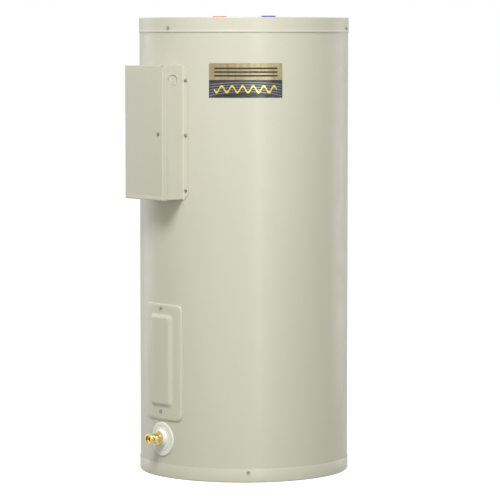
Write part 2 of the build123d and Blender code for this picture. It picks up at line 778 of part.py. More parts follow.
# ---- drain ----
def make_bezel():
    """Thin plastic disc that hugs the jacket, with a shallow ring pressed in its face and a tapered hub."""
    face_r = jacket_r + gap + bezel_thick
    disc = rod(bezel_r, (0, -250.0, bezel_z), (0, -300.0, bezel_z)) & upright(face_r, (0, height))
    disc -= upright(jacket_r + gap, (0, height))
    ring = tube(33.0, 31.4, (0, -250.0, bezel_z), (0, -300.0, bezel_z))
    disc -= ring - upright(face_r - 0.7, (0, height))
    taper = Cone(hub_r[0], hub_r[1], hub_y[0] - hub_y[1], align=(Align.CENTER, Align.CENTER, Align.MIN))
    hub = Plane(origin=(0, hub_y[0], drain_z), z_dir=(0, -1, 0)) * taper
    disc += fillet(hub.faces().sort_by(Axis.Y)[0].edges(), 1.0)
    return disc - rod(15.0, (0, -200.0, drain_z), (0, -300.0, drain_z))


def make_drain_body():
    body = rod(10.6, (0, -tank_r + 4.0, drain_z), (0, flange_back_y, drain_z))
    flange = hexagon(33.0, (0, flange_back_y, drain_z), (0, flange_front_y, drain_z))
    body += chamfer(flange.faces().sort_by(Axis.Y)[0].edges(), 0.9)
    barrel = rod(barrel_r, (0, flange_front_y, drain_z), (0, barrel_front_y, drain_z))
    body += fillet(barrel.faces().sort_by(Axis.Y)[0].edges(), 2.0)
    body += rod(9.0, (0, ball_y, drain_z), (STEM_BOSS_X, ball_y, drain_z))
    body += rod(neck_r, (0, barrel_front_y, drain_z), (0, hose_y[1], drain_z))
    body += rod(hose_r, (0, hose_y[1], drain_z), (0, hose_y[0], drain_z))
    chamber = ball_r + 0.4
    body -= rod(chamber, (0, ball_y + chamber, drain_z), (0, ball_y - chamber, drain_z))
    body -= rod(drain_bore_r, (0, -200.0, drain_z), (0, hose_y[0] - 1, drain_z))
    body -= rod(hose_bore_r, (0, hose_y[1] - 2.0, drain_z), (0, hose_y[0] - 1, drain_z))
    return body - rod(stem_r + gap, (0, ball_y, drain_z), (20.0, ball_y, drain_z))


def make_drain_seats():
    clear = Pos(0, ball_y, drain_z) * Sphere(ball_r + gap)
    solids = []
    for side in (-1, 1):
        outer_y = ball_y + side * (ball_r + 0.4)
        inner_y = ball_y + side * (ball_r - 4.4)
        solids.append(tube(ball_r + 0.2, drain_bore_r, (0, outer_y, drain_z), (0, inner_y, drain_z)) - clear)
    return group(solids)


STEM_SEAT_X = 7.3
STEM_BOSS_X = 13.5
STEM_END_X = 20.4
BONNET_END_X = 19.5


def make_ball():
    ball = Pos(0, ball_y, drain_z) * Sphere(ball_r)
    ball -= block((STEM_SEAT_X, 20.0), (ball_y - 15, ball_y + 15), (drain_z - 15, drain_z + 15))
    return ball - rod(ball_bore_r, (0, ball_y - 15, drain_z), (0, ball_y + 15, drain_z))


def make_drain_stem():
    stem = rod(stem_r, (STEM_SEAT_X, ball_y, drain_z), (STEM_END_X, ball_y, drain_z))
    stem = chamfer(stem.faces().sort_by(Axis.X)[-1].edges(), 0.6)
    slot = block((STEM_END_X - 1.8, STEM_END_X + 1), (ball_y - 5, ball_y + 5), (drain_z - 0.7, drain_z + 0.7))
    return stem - slot


def make_bonnet():
    cap = rod(9.8, (STEM_BOSS_X, ball_y, drain_z), (BONNET_END_X, ball_y, drain_z))
    cap = fillet(cap.faces().sort_by(Axis.X)[-1].edges(), 5.0)
    return cap - rod(stem_r + gap, (10.0, ball_y, drain_z), (30.0, ball_y, drain_z))


# ---- relief valve ----
RELIEF_SEAT_X = -284.0
RELIEF_HOUSING_X = -320.0
RELIEF_CAP_X = -338.0


def make_relief_body():
    body = rod(12.0, (-tank_r + 4.0, 0, relief_z), (RELIEF_SEAT_X, 0, relief_z))
    body += hexagon(32.0, (RELIEF_SEAT_X, 0, relief_z), (RELIEF_SEAT_X - 8.0, 0, relief_z))
    body += rod(17.0, (RELIEF_SEAT_X - 8.0, 0, relief_z), (RELIEF_HOUSING_X, 0, relief_z))
    body += rod(17.0, (relief_x, 0, relief_z), (relief_x, 0, relief_z - 38.0))
    body += rod(12.5, (RELIEF_HOUSING_X, 0, relief_z), (RELIEF_CAP_X, 0, relief_z))
    ears = block((RELIEF_CAP_X - 14.0, RELIEF_CAP_X + 2), (-9.0, 9.0), (relief_z - 6.0, relief_z + 6.0))
    body += ears - block((RELIEF_CAP_X - 15.0, RELIEF_CAP_X), (-6.3, 6.3), (relief_z - 7.0, relief_z + 7.0))
    body -= rod(8.0, (-200.0, 0, relief_z), (-298.0, 0, relief_z))
    body -= rod(10.5, (-298.0, 0, relief_z), (RELIEF_CAP_X + 2.0, 0, relief_z))
    body -= rod(9.0, (relief_x, 0, relief_z), (relief_x, 0, relief_z - 39.0))
    body -= rod(port_bore_r, (relief_x, 0, relief_z - 20.0), (relief_x, 0, relief_z - 39.0))
    body -= rod(3.3, (RELIEF_CAP_X + 3.0, 0, relief_z), (RELIEF_CAP_X - 1.0, 0, relief_z))
    return body - rod(1.55, (lever_pin_x, -12.0, relief_z), (lever_pin_x, 12.0, relief_z))


def make_relief_probe():
    return fillet(rod(4.5, (-150.0, 0, relief_z), (-tank_r + 3.0, 0, relief_z)).edges().group_by(Axis.X)[-1], 2.0)


STEM_DISC_X = -298.0


def make_relief_stem():
    disc = rod(9.6, (STEM_DISC_X - 0.4, 0, relief_z), (STEM_DISC_X - 4.0, 0, relief_z))
    shaft = rod(3.0, (STEM_DISC_X - 4.0, 0, relief_z), (RELIEF_CAP_X - 3.0, 0, relief_z))
    return disc + shaft


def make_relief_spring():
    """Compression spring between the disc and the end of the housing."""
    turns = 4
    low, high = -334.0, -307.0
    pitch = (high - low) / turns
    coil = Helix(pitch, high - low, 6.4, center=(0, 0, 0), direction=(0, 0, 1))
    section = Plane(origin=coil @ 0, z_dir=coil % 0) * Circle(0.9)
    spring = sweep(section, path=coil, is_frenet=True)
    return Plane(origin=(low, 0, relief_z), z_dir=(1, 0, 0)) * spring


def make_relief_lever():
    """Test lever: a forked hub on the pin, which clears the stem, and a thumb strap that stands up."""
    hub = rod(4.6, (lever_pin_x, -5.9, relief_z), (lever_pin_x, 5.9, relief_z))
    strap = block((lever_pin_x - 4.6, lever_pin_x - 2.6), (-5.9, 5.9), (relief_z, relief_z + lever_length))
    thumb = block((lever_pin_x - 12.0, lever_pin_x - 2.6), (-5.9, 5.9),
                  (relief_z + lever_length - 2.0, relief_z + lever_length))
    lever = hub + strap + thumb
    lever -= block((lever_pin_x - 2.5, lever_pin_x + 5.0), (-3.6, 3.6), (relief_z - 5.0, relief_z + 5.0))
    return lever - rod(1.55, (lever_pin_x, -12.0, relief_z), (lever_pin_x, 12.0, relief_z))


def make_lever_pin():
    pin = rod(1.5, (lever_pin_x, -9.0, relief_z), (lever_pin_x, 9.0, relief_z))
    return pin + rod(2.6, (lever_pin_x, 9.0, relief_z), (lever_pin_x, 10.2, relief_z))


def make_all():
    nodes["jacket"] = make_jacket()
    nodes["top_pan"] = make_top_pan()
    nodes["base_pan"] = make_base_pan()
    for name, azimuths, z in (("top_pan_screws", top_screw_azimuths, top_screw_z),
                              ("base_pan_screws", base_screw_azimuths, base_screw_z)):
        nodes[name] = group(plane * sheet_screw() for plane in casing_screw_planes(azimuths, z, pan_r))
    nodes["front_badge"] = make_badge()
    nodes["foam_insulation"] = make_foam()
    nodes["panel_insulation"] = make_panel_insulation()
    nodes["bottom_insulation"] = upright(tank_r - tank_wall - gap, (floor_sheet, 30.0))
    nodes["tank_shell"] = make_tank_shell()
    nodes["tank_top_head"] = make_top_head()
    nodes["tank_bottom_head"] = dished_head(bottom_rim_z, bottom_rise)
    nodes["top_spuds"] = make_top_spuds()
    nodes["side_spuds"] = make_side_spuds()
    nodes["dip_tube"] = make_dip_tube()
    nodes["anode_rod"] = rod(9.5, (0, 0, 320.0), (0, 0, 1158.0))
    nodes["anode_plug"] = make_anode_plug()
    nodes["anode_cap"] = make_anode_cap()
    nodes["hot_port_ring"] = make_port_ring(-port_x)
    nodes["cold_port_ring"] = make_port_ring(port_x)
    for level, z in element_levels.items():
        nodes[level + "_element_head"] = make_element_head(z)
        nodes[level + "_element_sheath"] = make_element_sheath(z)
    nodes["element_gaskets"] = make_element_gaskets()
    for level, z in thermostat_levels.items():
        nodes[level + "_thermostat"] = make_thermostat(z)
        nodes[level + "_dial"] = make_dial(z)
    nodes["high_limit"] = make_high_limit()
    nodes["reset_button"] = make_reset_button()
    nodes["thermostat_brackets"] = make_brackets()
    nodes["terminal_block"] = make_terminal_block()
    nodes["terminal_screws"] = make_terminal_screws()
    nodes["ground_screw"] = make_ground_screw()
    for name in WIRE_ROUTES:
        nodes[name] = make_wire(name)
    nodes["control_box"] = make_control_box()
    nodes["box_cover"] = make_cover()
    nodes["cover_hinge_pins"] = make_hinge_pins()
    nodes["cover_screw"] = make_cover_screw()
    nodes["box_flange_screws"] = group(plane * sheet_screw() for plane in flange_screw_planes())
    nodes["conduit_knockout"] = make_knockout()
    nodes["access_panel"] = make_access_panel()
    nodes["panel_screws"] = make_panel_screws()
    nodes["drain_bezel"] = make_bezel()
    nodes["drain_body"] = make_drain_body()
    nodes["drain_seats"] = make_drain_seats()
    nodes["drain_ball"] = make_ball()
    nodes["drain_stem"] = make_drain_stem()
    nodes["drain_bonnet"] = make_bonnet()
    nodes["relief_body"] = make_relief_body()
    nodes["relief_probe"] = make_relief_probe()
    nodes["relief_stem"] = make_relief_stem()
    nodes["relief_spring"] = make_relief_spring()
    nodes["relief_lever"] = make_relief_lever()
    nodes["relief_lever_pin"] = make_lever_pin()


make_all()
os.makedirs("parts", exist_ok=True)
for name, shape in nodes.items():
    export_step(shape, os.path.join("parts", name + ".step"))
print(len(nodes), "nodes")
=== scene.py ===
import json
import math
import bmesh
import bpy
from mathutils import Matrix, Vector

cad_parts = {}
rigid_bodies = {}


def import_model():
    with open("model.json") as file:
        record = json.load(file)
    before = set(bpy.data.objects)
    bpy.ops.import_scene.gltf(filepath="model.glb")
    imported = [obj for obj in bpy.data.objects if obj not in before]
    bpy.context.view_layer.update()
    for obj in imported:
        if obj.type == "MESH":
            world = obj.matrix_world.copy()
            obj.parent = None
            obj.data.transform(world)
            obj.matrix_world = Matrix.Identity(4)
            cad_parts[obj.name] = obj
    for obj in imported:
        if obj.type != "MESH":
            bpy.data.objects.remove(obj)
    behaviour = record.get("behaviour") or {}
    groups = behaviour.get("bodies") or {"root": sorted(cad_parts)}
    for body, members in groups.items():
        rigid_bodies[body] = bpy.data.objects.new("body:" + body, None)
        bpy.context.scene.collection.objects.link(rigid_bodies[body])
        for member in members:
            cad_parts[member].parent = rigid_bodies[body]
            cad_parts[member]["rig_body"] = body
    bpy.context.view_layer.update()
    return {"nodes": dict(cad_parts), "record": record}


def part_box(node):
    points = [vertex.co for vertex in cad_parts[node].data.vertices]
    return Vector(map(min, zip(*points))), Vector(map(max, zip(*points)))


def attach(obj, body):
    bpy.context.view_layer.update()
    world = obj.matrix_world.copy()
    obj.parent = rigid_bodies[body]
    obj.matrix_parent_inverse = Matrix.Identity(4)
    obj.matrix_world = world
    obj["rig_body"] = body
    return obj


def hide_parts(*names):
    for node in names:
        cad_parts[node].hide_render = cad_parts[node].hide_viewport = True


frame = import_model()

# Shapes are written in millimetres in the row frame, as in part.py; pieces are made in metres.
MM = 0.001
JACKET_R = 276.0
SKIN_R = JACKET_R + 0.35
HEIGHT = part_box("top_pan")[1].z / MM
DRAIN_Z = 103.5
RELIEF_Z = 1050.0
NOISE_SPAN = (0.3, 0.7)
SHARP_ANGLE = 32.0


# ---- mesh helpers: a part is a pair (points, faces) ----
def joined(parts):
    points, faces = [], []
    for part_points, part_faces in parts:
        base = len(points)
        points += list(part_points)
        faces += [tuple(base + i for i in face) for face in part_faces]
    return points, faces


def moved(part, matrix):
    return [matrix @ Vector(p) for p in part[0]], part[1]


def basis(origin, out):
    """Matrix whose Z is out and whose Y is as near to upright as it can be."""
    w = Vector(out).normalized()
    v = Vector((0, 0, 1)) - w * w.z
    if v.length < 1e-6:
        v = Vector((0, 1, 0)) - w * w.y
    v.normalize()
    u = v.cross(w)
    rows = [(u[i], v[i], w[i], origin[i]) for i in range(3)] + [(0, 0, 0, 1)]
    return Matrix(rows)


def on_wall(azimuth, z, radius):
    angle = math.radians(azimuth)
    out = (math.sin(angle), -math.cos(angle), 0)
    return basis((radius * out[0], radius * out[1], z), out)


def soften(points, radius, steps=4, closed=True):
    """Outline with its corners rounded; radius is one number or one for each corner."""
    count = len(points)
    radii = [radius] * count if isinstance(radius, (int, float)) else list(radius)
    result = []
    for i, here in enumerate(points):
        here = Vector(here)
        if radii[i] <= 0 or (not closed and i in (0, count - 1)):
            result.append(here)
            continue
        before, after = Vector(points[i - 1]) - here, Vector(points[(i + 1) % count]) - here
        start = here + before.normalized() * min(radii[i], before.length * 0.49)
        end = here + after.normalized() * min(radii[i], after.length * 0.49)
        for k in range(steps + 1):
            t = k / steps
            result.append(start.lerp(here, t).lerp(here.lerp(end, t), t))
    return result


def ring_faces(segments, count):
    """Faces of a closed outline of count points, repeated in a closed ring of segments."""
    faces = []
    for i in range(segments):
        a, b = i * count, ((i + 1) % segments) * count
        faces += [(a + j, b + j, b + (j + 1) % count, a + (j + 1) % count) for j in range(count)]
    return faces


def band_faces(first, loops, count):
    """Faces between neighbouring loops of count points; first is the number of the first point."""
    faces = []
    for k in range(loops - 1):
        a, b = first + k * count, first + (k + 1) * count
        faces += [(a + i, a + (i + 1) % count, b + (i + 1) % count, b + i) for i in range(count)]
    return faces


def turn(profile, segments=96, ripple=None):
    """Closed outline of (radius, height) turned about local Z; ripple adds to the radius at each point."""
    points = []
    for i in range(segments):
        angle = 2 * math.pi * i / segments
        for radius, level in profile:
            radius = radius + ripple(level, angle) if ripple else radius
            points.append((radius * math.cos(angle), radius * math.sin(angle), level))
    return points, ring_faces(segments, len(profile))


def loft(loops):
    """Closed solid through loops that have the same number of points."""
    count = len(loops[0])
    points = [p for loop in loops for p in loop]
    faces = [tuple(reversed(range(count)))] + band_faces(0, len(loops), count)
    last = (len(loops) - 1) * count
    faces.append(tuple(last + i for i in range(count)))
    return points, faces


def thick(points, faces, inward):
    """Closed sheet from one side: the same faces again at inward(point), and walls along every open edge."""
    count = len(points)
    both = list(points) + [inward(Vector(p)) for p in points]
    result = list(faces) + [tuple(count + i for i in reversed(face)) for face in faces]
    edges = {(face[k], face[(k + 1) % len(face)]) for face in faces for k in range(len(face))}
    for a, b in sorted(edges):
        if (b, a) not in edges:
            result.append((b, a, count + a, count + b))
    return both, result


def grid(rows):
    """Open sheet over rows of points."""
    count = len(rows[0])
    points = [p for row in rows for p in row]
    faces = [(k * count + i, k * count + i + 1, (k + 1) * count + i + 1, (k + 1) * count + i)
             for k in range(len(rows) - 1) for i in range(count - 1)]
    return points, faces


def spread(low, high, step):
    count = max(1, math.ceil((high - low) / step - 1e-9))
    return [low + (high - low) * i / count for i in range(count + 1)]


def bar(x_span, y_span, z_span, round_r=0.3):
    """Box with rounded edges seen along its longest side."""
    sizes = [s[1] - s[0] for s in (x_span, y_span, z_span)]
    middle = Vector([sum(s) / 2 for s in (x_span, y_span, z_span)])
    long = sizes.index(max(sizes))
    a, b = [i for i in range(3) if i != long]
    corners = [(-1, -1), (1, -1), (1, 1), (-1, 1)]
    loops = []
    for end, inset in ((-1, round_r), (-1, 0), (1, 0), (1, round_r)):
        half_a, half_b = sizes[a] / 2 - inset, sizes[b] / 2 - inset
        outline = soften([(ca * half_a, cb * half_b) for ca, cb in corners], round_r, 2)
        reach = end * (sizes[long] / 2 - (0 if inset else round_r))
        loop = []
        for pa, pb in outline:
            p = Vector((0, 0, 0))
            p[a], p[b], p[long] = pa, pb, reach
            loop.append(middle + p)
        loops.append(loop)
    return loft(loops)


def drilled(part, cutters):
    """Part with closed cutter parts taken away from it."""
    made = []
    for points, faces in [part] + cutters:
        mesh = bpy.data.meshes.new("drill")
        mesh.from_pydata([tuple(p) for p in points], [], faces)
        bm = bmesh.new()
        bm.from_mesh(mesh)
        bmesh.ops.remove_doubles(bm, verts=bm.verts, dist=0.002)
        bmesh.ops.recalc_face_normals(bm, faces=bm.faces)
        bm.to_mesh(mesh)
        bm.free()
        obj = bpy.data.objects.new("drill", mesh)
        bpy.context.scene.collection.objects.link(obj)
        made.append(obj)
    for cutter in made[1:]:
        modifier = made[0].modifiers.new("cut", "BOOLEAN")
        modifier.operation = "DIFFERENCE"
        modifier.solver = "EXACT"
        modifier.object = cutter
    depsgraph = bpy.context.evaluated_depsgraph_get()
    depsgraph.update()
    result = bpy.data.meshes.new_from_object(made[0].evaluated_get(depsgraph))
    points = [Vector(v.co) for v in result.vertices]
    faces = [tuple(polygon.vertices) for polygon in result.polygons]
    for obj in made:
        bpy.data.meshes.remove(obj.data)
    bpy.data.meshes.remove(result)
    return points, faces


def peg(radius, seat, low, high):
    """Round closed cutter on a seat, from low to high along its Z."""
    return moved(turn([(0, low), (radius, low), (radius, high), (0, high)], 64), seat)


def outwards(p, distance):
    """The point moved away from the heater's axis."""
    radius = math.hypot(p[0], p[1])
    k = (radius + distance) / radius
    return Vector((p[0] * k, p[1] * k, p[2]))


# ---- materials ----
def lin(red, green, blue):
    values = []
    for c in (red, green, blue):
        c = c / 255
        values.append(c / 12.92 if c <= 0.04045 else ((c + 0.055) / 1.055) ** 2.4)
    return (*values, 1.0)


def texture(tree, kind, scale, stretch=(1, 1, 1), detail=4.0):
    coords = tree.nodes.new("ShaderNodeTexCoord")
    mapping = tree.nodes.new("ShaderNodeMapping")
    mapping.inputs["Scale"].default_value = stretch
    tree.links.new(coords.outputs["Object"], mapping.inputs["Vector"])
    if kind == "cells":
        node = tree.nodes.new("ShaderNodeTexVoronoi")
        output = node.outputs["Distance"]
    elif kind == "flakes":
        node = tree.nodes.new("ShaderNodeTexVoronoi")
        output = node.outputs["Color"]
    else:
        node = tree.nodes.new("ShaderNodeTexNoise")
        node.inputs["Detail"].default_value = detail
        output = node.outputs["Fac"]
    node.inputs["Scale"].default_value = scale
    tree.links.new(mapping.outputs["Vector"], node.inputs["Vector"])
    return output


def ramp(tree, source, tones):
    """Colours of a noise, from the first tone at its low end to the last at its high end."""
    node = tree.nodes.new("ShaderNodeValToRGB")
    elements = node.color_ramp.elements
    elements[0].position, elements[0].color = NOISE_SPAN[0], tones[0]
    elements[1].position, elements[1].color = NOISE_SPAN[1], tones[-1]
    if len(tones) == 3:
        middle = elements.new(sum(NOISE_SPAN) / 2)
        middle.color = tones[1]
    tree.links.new(source, node.inputs["Fac"])
    return node.outputs["Color"]


def multiplied(tree, first, second):
    node = tree.nodes.new("ShaderNodeMix")
    node.data_type = "RGBA"
    node.blend_type = "MULTIPLY"
    node.inputs[0].default_value = 1.0
    tree.links.new(first, node.inputs[6])
    tree.links.new(second, node.inputs[7])
    return node.outputs[2]


def spanned(tree, source, low, high):
    """A noise stretched to run from low to high."""
    node = tree.nodes.new("ShaderNodeMapRange")
    node.inputs["From Min"].default_value, node.inputs["From Max"].default_value = NOISE_SPAN
    node.inputs["To Min"].default_value = low
    node.inputs["To Max"].default_value = high
    tree.links.new(source, node.inputs["Value"])
    return node.outputs["Result"]


def bumped(tree, source, distance, strength, before=None):
    node = tree.nodes.new("ShaderNodeBump")
    node.inputs["Distance"].default_value = distance
    node.inputs["Strength"].default_value = strength
    tree.links.new(source, node.inputs["Height"])
    if before is not None:
        tree.links.new(before, node.inputs["Normal"])
    return node.outputs["Normal"]


looks = {}


def look(slot, tones, rough, metal=0.0, grain=("noise", 8.0, (1, 1, 1)), fine=("noise", 700.0, (1, 1, 1)),
         fine_share=0.04, bump=(0.00006, 0.3), wave=None, coat=0.0, sheen=0.0):
    """Procedural material: slow colour drift, fine speckle, uneven gloss and a fine relief."""
    material = bpy.data.materials.new(slot + "_look")
    material.use_nodes = True
    tree = material.node_tree
    shader = tree.nodes["Principled BSDF"]
    color = ramp(tree, texture(tree, *grain), tones)
    speckle = texture(tree, *fine)
    grey = ramp(tree, speckle, [(1 - fine_share,) * 3 + (1,), (1 + fine_share,) * 3 + (1,)])
    tree.links.new(multiplied(tree, color, grey), shader.inputs["Base Color"])
    tree.links.new(spanned(tree, texture(tree, "noise", 23.0), *rough), shader.inputs["Roughness"])
    normal = bumped(tree, speckle, *bump)
    if wave:
        normal = bumped(tree, texture(tree, "noise", wave[0], wave[1], 2.0), wave[2], wave[3], normal)
    tree.links.new(normal, shader.inputs["Normal"])
    shader.inputs["Metallic"].default_value = metal
    if coat:
        shader.inputs["Coat Weight"].default_value = coat
        shader.inputs["Coat Roughness"].default_value = 0.22
    if sheen:
        shader.inputs["Sheen Weight"].default_value = sheen
    looks[slot] = material


CREAM = [lin(200, 198, 182), lin(203, 201, 185), lin(206, 204, 188)]
look("cream_enamel", CREAM, (0.36, 0.46), grain=("noise", 3.0, (1, 1, 0.4)),
     fine=("noise", 420.0, (1, 1, 1)), fine_share=0.02, bump=(0.00005, 0.35),
     wave=(5.0, (1, 1, 0.35), 0.0012, 0.10), coat=0.12)
look("cream_plastic", [lin(205, 202, 180), lin(212, 209, 188)], (0.42, 0.55),
     fine=("cells", 900.0, (1, 1, 1)), fine_share=0.03, bump=(0.00005, 0.3))
look("white_plastic", [lin(226, 229, 219), lin(236, 238, 229)], (0.38, 0.5),
     fine=("cells", 650.0, (1, 1, 1)), fine_share=0.03, bump=(0.00006, 0.3),
     wave=(60.0, (1, 1, 1), 0.0002, 0.15))
look("red_plastic", [lin(205, 60, 58), lin(222, 84, 78)], (0.3, 0.45), fine=("cells", 800.0, (1, 1, 1)))
look("blue_plastic", [lin(50, 68, 170), lin(74, 92, 192)], (0.3, 0.45), fine=("cells", 800.0, (1, 1, 1)))
look("zinc_steel", [lin(130, 128, 117), lin(168, 165, 152)], (0.34, 0.5), metal=1.0,
     grain=("flakes", 240.0, (1, 1, 1)), fine=("noise", 900.0, (1, 1, 1)), fine_share=0.06,
     bump=(0.00004, 0.3))
look("tank_steel", [lin(40, 44, 58), lin(58, 62, 76)], (0.45, 0.65), grain=("noise", 14.0, (1, 1, 0.5)),
     fine=("noise", 500.0, (1, 1, 1)), fine_share=0.12, bump=(0.0001, 0.4))
look("spud_steel", [lin(96, 92, 86), lin(132, 128, 120)], (0.4, 0.6), metal=0.9,
     fine=("noise", 400.0, (1, 1, 6)), fine_share=0.12, bump=(0.0001, 0.4))
look("foam", [lin(206, 178, 118), lin(232, 210, 150)], (0.75, 0.95), grain=("cells", 90.0, (1, 1, 1)),
     fine=("cells", 320.0, (1, 1, 1)), fine_share=0.1, bump=(0.0012, 0.8),
     wave=(40.0, (1, 1, 1), 0.004, 0.5), sheen=0.1)
look("glass_wool", [lin(214, 184, 92), lin(238, 216, 134)], (0.85, 1.0),
     grain=("noise", 60.0, (1, 1, 9)), fine=("noise", 500.0, (6, 1, 1)), fine_share=0.16,
     bump=(0.0012, 0.9), sheen=0.3)
look("dip_plastic", [lin(220, 220, 212), lin(234, 234, 228)], (0.35, 0.5))
look("magnesium", [lin(140, 140, 138), lin(176, 176, 172)], (0.5, 0.7), metal=0.9,
     grain=("noise", 50.0, (1, 1, 0.2)), fine_share=0.1)
look("sheath_steel", [lin(70, 66, 60), lin(110, 100, 84)], (0.3, 0.5), metal=1.0,
     grain=("noise", 60.0, (1, 0.3, 1)), fine_share=0.1)
look("gasket_rubber", [lin(28, 28, 28), lin(40, 40, 38)], (0.6, 0.8),
     fine=("noise", 900.0, (1, 1, 1)), fine_share=0.15)
look("control_plastic", [lin(34, 34, 38), lin(46, 46, 50)], (0.3, 0.5), fine=("cells", 1100.0, (1, 1, 1)),
     fine_share=0.14, bump=(0.00006, 0.5))
look("dial_plastic", [lin(214, 208, 186), lin(228, 222, 202)], (0.35, 0.5), fine=("cells", 900.0, (1, 1, 1)))
look("button_plastic", [lin(180, 26, 22), lin(206, 40, 34)], (0.18, 0.3), fine=("cells", 900.0, (1, 1, 1)))
look("block_plastic", [lin(36, 34, 32), lin(54, 50, 46)], (0.35, 0.55), fine=("cells", 1100.0, (1, 1, 1)),
     fine_share=0.14, bump=(0.00006, 0.5))
look("terminal_brass", [lin(190, 154, 88), lin(214, 182, 112)], (0.22, 0.4), metal=1.0, fine_share=0.06)
look("ground_green", [lin(28, 96, 48), lin(44, 122, 62)], (0.3, 0.45), fine_share=0.08, coat=0.2)
look("wire_black", [lin(22, 22, 24), lin(34, 34, 36)], (0.35, 0.5),
     fine=("noise", 600.0, (1, 1, 5)), fine_share=0.1)
look("wire_red", [lin(168, 30, 24), lin(192, 44, 36)], (0.35, 0.5), fine=("noise", 600.0, (1, 1, 5)))
look("wire_yellow", [lin(214, 176, 40), lin(232, 198, 62)], (0.35, 0.5), fine=("noise", 600.0, (1, 1, 5)))
look("wire_blue", [lin(36, 78, 158), lin(52, 96, 182)], (0.35, 0.5), fine=("noise", 600.0, (1, 1, 5)))
look("valve_brass", [lin(206, 184, 122), lin(224, 205, 146)], (0.26, 0.42), metal=1.0,
     grain=("noise", 90.0, (1, 3, 1)), fine=("noise", 900.0, (1, 6, 1)), fine_share=0.05, bump=(0.00004, 0.3))
look("seat_ptfe", [lin(228, 228, 222), lin(240, 240, 236)], (0.35, 0.5))
look("ball_chrome", [lin(196, 198, 200), lin(218, 220, 222)], (0.06, 0.14), metal=1.0, fine_share=0.03)
look("spring_steel", [lin(150, 150, 148), lin(186, 186, 182)], (0.2, 0.36), metal=1.0, fine_share=0.06)
look("badge_foil", [lin(146, 132, 96), lin(176, 162, 126)], (0.3, 0.45), metal=0.55,
     grain=("noise", 90.0, (1, 1, 0.2)), fine=("noise", 1100.0, (1, 1, 8)), fine_share=0.08)
look("badge_dark", [lin(38, 36, 34), lin(66, 64, 66)], (0.25, 0.4), metal=0.3,
     grain=("noise", 60.0, (1, 1, 3)), fine=("noise", 1100.0, (1, 1, 1)), fine_share=0.1)
look("badge_gold", [lin(212, 184, 76), lin(236, 214, 110)], (0.25, 0.4), metal=0.5, fine_share=0.08)
look("badge_grey", [lin(112, 112, 118), lin(142, 142, 150)], (0.25, 0.4), metal=0.5, fine_share=0.08)
look("badge_ink", [lin(26, 23, 20), lin(38, 34, 30)], (0.45, 0.6), fine_share=0.1)

slots = {part["node"]: part["material_slot"] for part in frame["record"]["subparts"]}
for name, node in frame["nodes"].items():
    node.data.materials.clear()
    node.data.materials.append(looks[slots[name]])

body_of_node = {name: node["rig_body"] for name, node in frame["nodes"].items()}


def piece(name, part, slot, node, stands_for=True, look_name=None):
    """A closed mesh piece that rides on the body of a CAD node and stands for it."""
    points, faces = part
    mesh = bpy.data.meshes.new(name)
    mesh.from_pydata([tuple(c * MM for c in p) for p in points], [], faces)
    bm = bmesh.new()
    bm.from_mesh(mesh)
    bmesh.ops.remove_doubles(bm, verts=bm.verts, dist=2e-6)
    bmesh.ops.dissolve_degenerate(bm, edges=bm.edges, dist=1e-7)
    bmesh.ops.recalc_face_normals(bm, faces=bm.faces)
    bm.to_mesh(mesh)
    bm.free()
    for polygon in mesh.polygons:
        polygon.use_smooth = True
    mesh.set_sharp_from_angle(angle=math.radians(SHARP_ANGLE))
    obj = bpy.data.objects.new(name, mesh)
    bpy.context.scene.collection.objects.link(obj)
    mesh.materials.append(looks[look_name or slot])
    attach(obj, body_of_node[node])
    if stands_for:
        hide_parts(node)


# ---- screws ----
def hexagon_loop(flats, level, round_r=0.35):
    corner = flats / math.sqrt(3)
    angles = [math.radians(60 * k + 30) for k in range(6)]
    points = [(corner * math.cos(angle), corner * math.sin(angle)) for angle in angles]
    return [(x, y, level) for x, y in soften(points, round_r, 3)]


def screw():
    """Hex washer-head sheet screw, its washer seated on Z = 0."""
    outline = [(0, 0), (4.6, 0), (4.6, 0.8), (3.4, 1.0), (0, 1.0)]
    washer = turn(soften(outline, [0, 0.15, 0.35, 0.3, 0], 3), 40)
    head = loft([hexagon_loop(flats, level)
                 for flats, level in ((6.4, 0.7), (6.4, 3.1), (5.6, 3.6), (4.6, 3.6), (4.2, 3.3))])
    shank = turn([(0, -6.0), (0.8, -6.0), (1.9, -4.6), (1.9, 0.1), (0, 0.1)], 20)
    return joined([washer, head, shank])


TOP_SCREWS = [(5.8 + 120 * k, 1170.0) for k in range(3)]
BASE_SCREWS = [(52.8 + 120 * k, 27.0) for k in range(3)]
PAN_R = 277.2
PANEL_R = 280.5
FLANGE_R = 277.5
FLANGE_SCREW_X = 84.8
FLANGE_AZIMUTH = math.degrees(math.asin(FLANGE_SCREW_X / JACKET_R))
FLANGE_SCREWS = [(side * FLANGE_AZIMUTH, z) for side in (-1, 1) for z in (752.0, 894.0, 1035.0)]
PANEL_SCREWS = [(0.0, 173.0), (0.0, 444.0)]


def screws(name, node, places, radius):
    parts = [moved(screw(), on_wall(azimuth, z, radius) @ Matrix.Rotation(0.4 * k, 4, "Z"))
             for k, (azimuth, z) in enumerate(places)]
    piece(name, joined(parts), "zinc_steel", node)


screws("top_pan_screw_set", "top_pan_screws", TOP_SCREWS, PAN_R)
screws("base_pan_screw_set", "base_pan_screws", BASE_SCREWS, PAN_R)
screws("flange_screw_set", "box_flange_screws", FLANGE_SCREWS, FLANGE_R)
screws("panel_screw_set", "panel_screws", PANEL_SCREWS, PANEL_R)


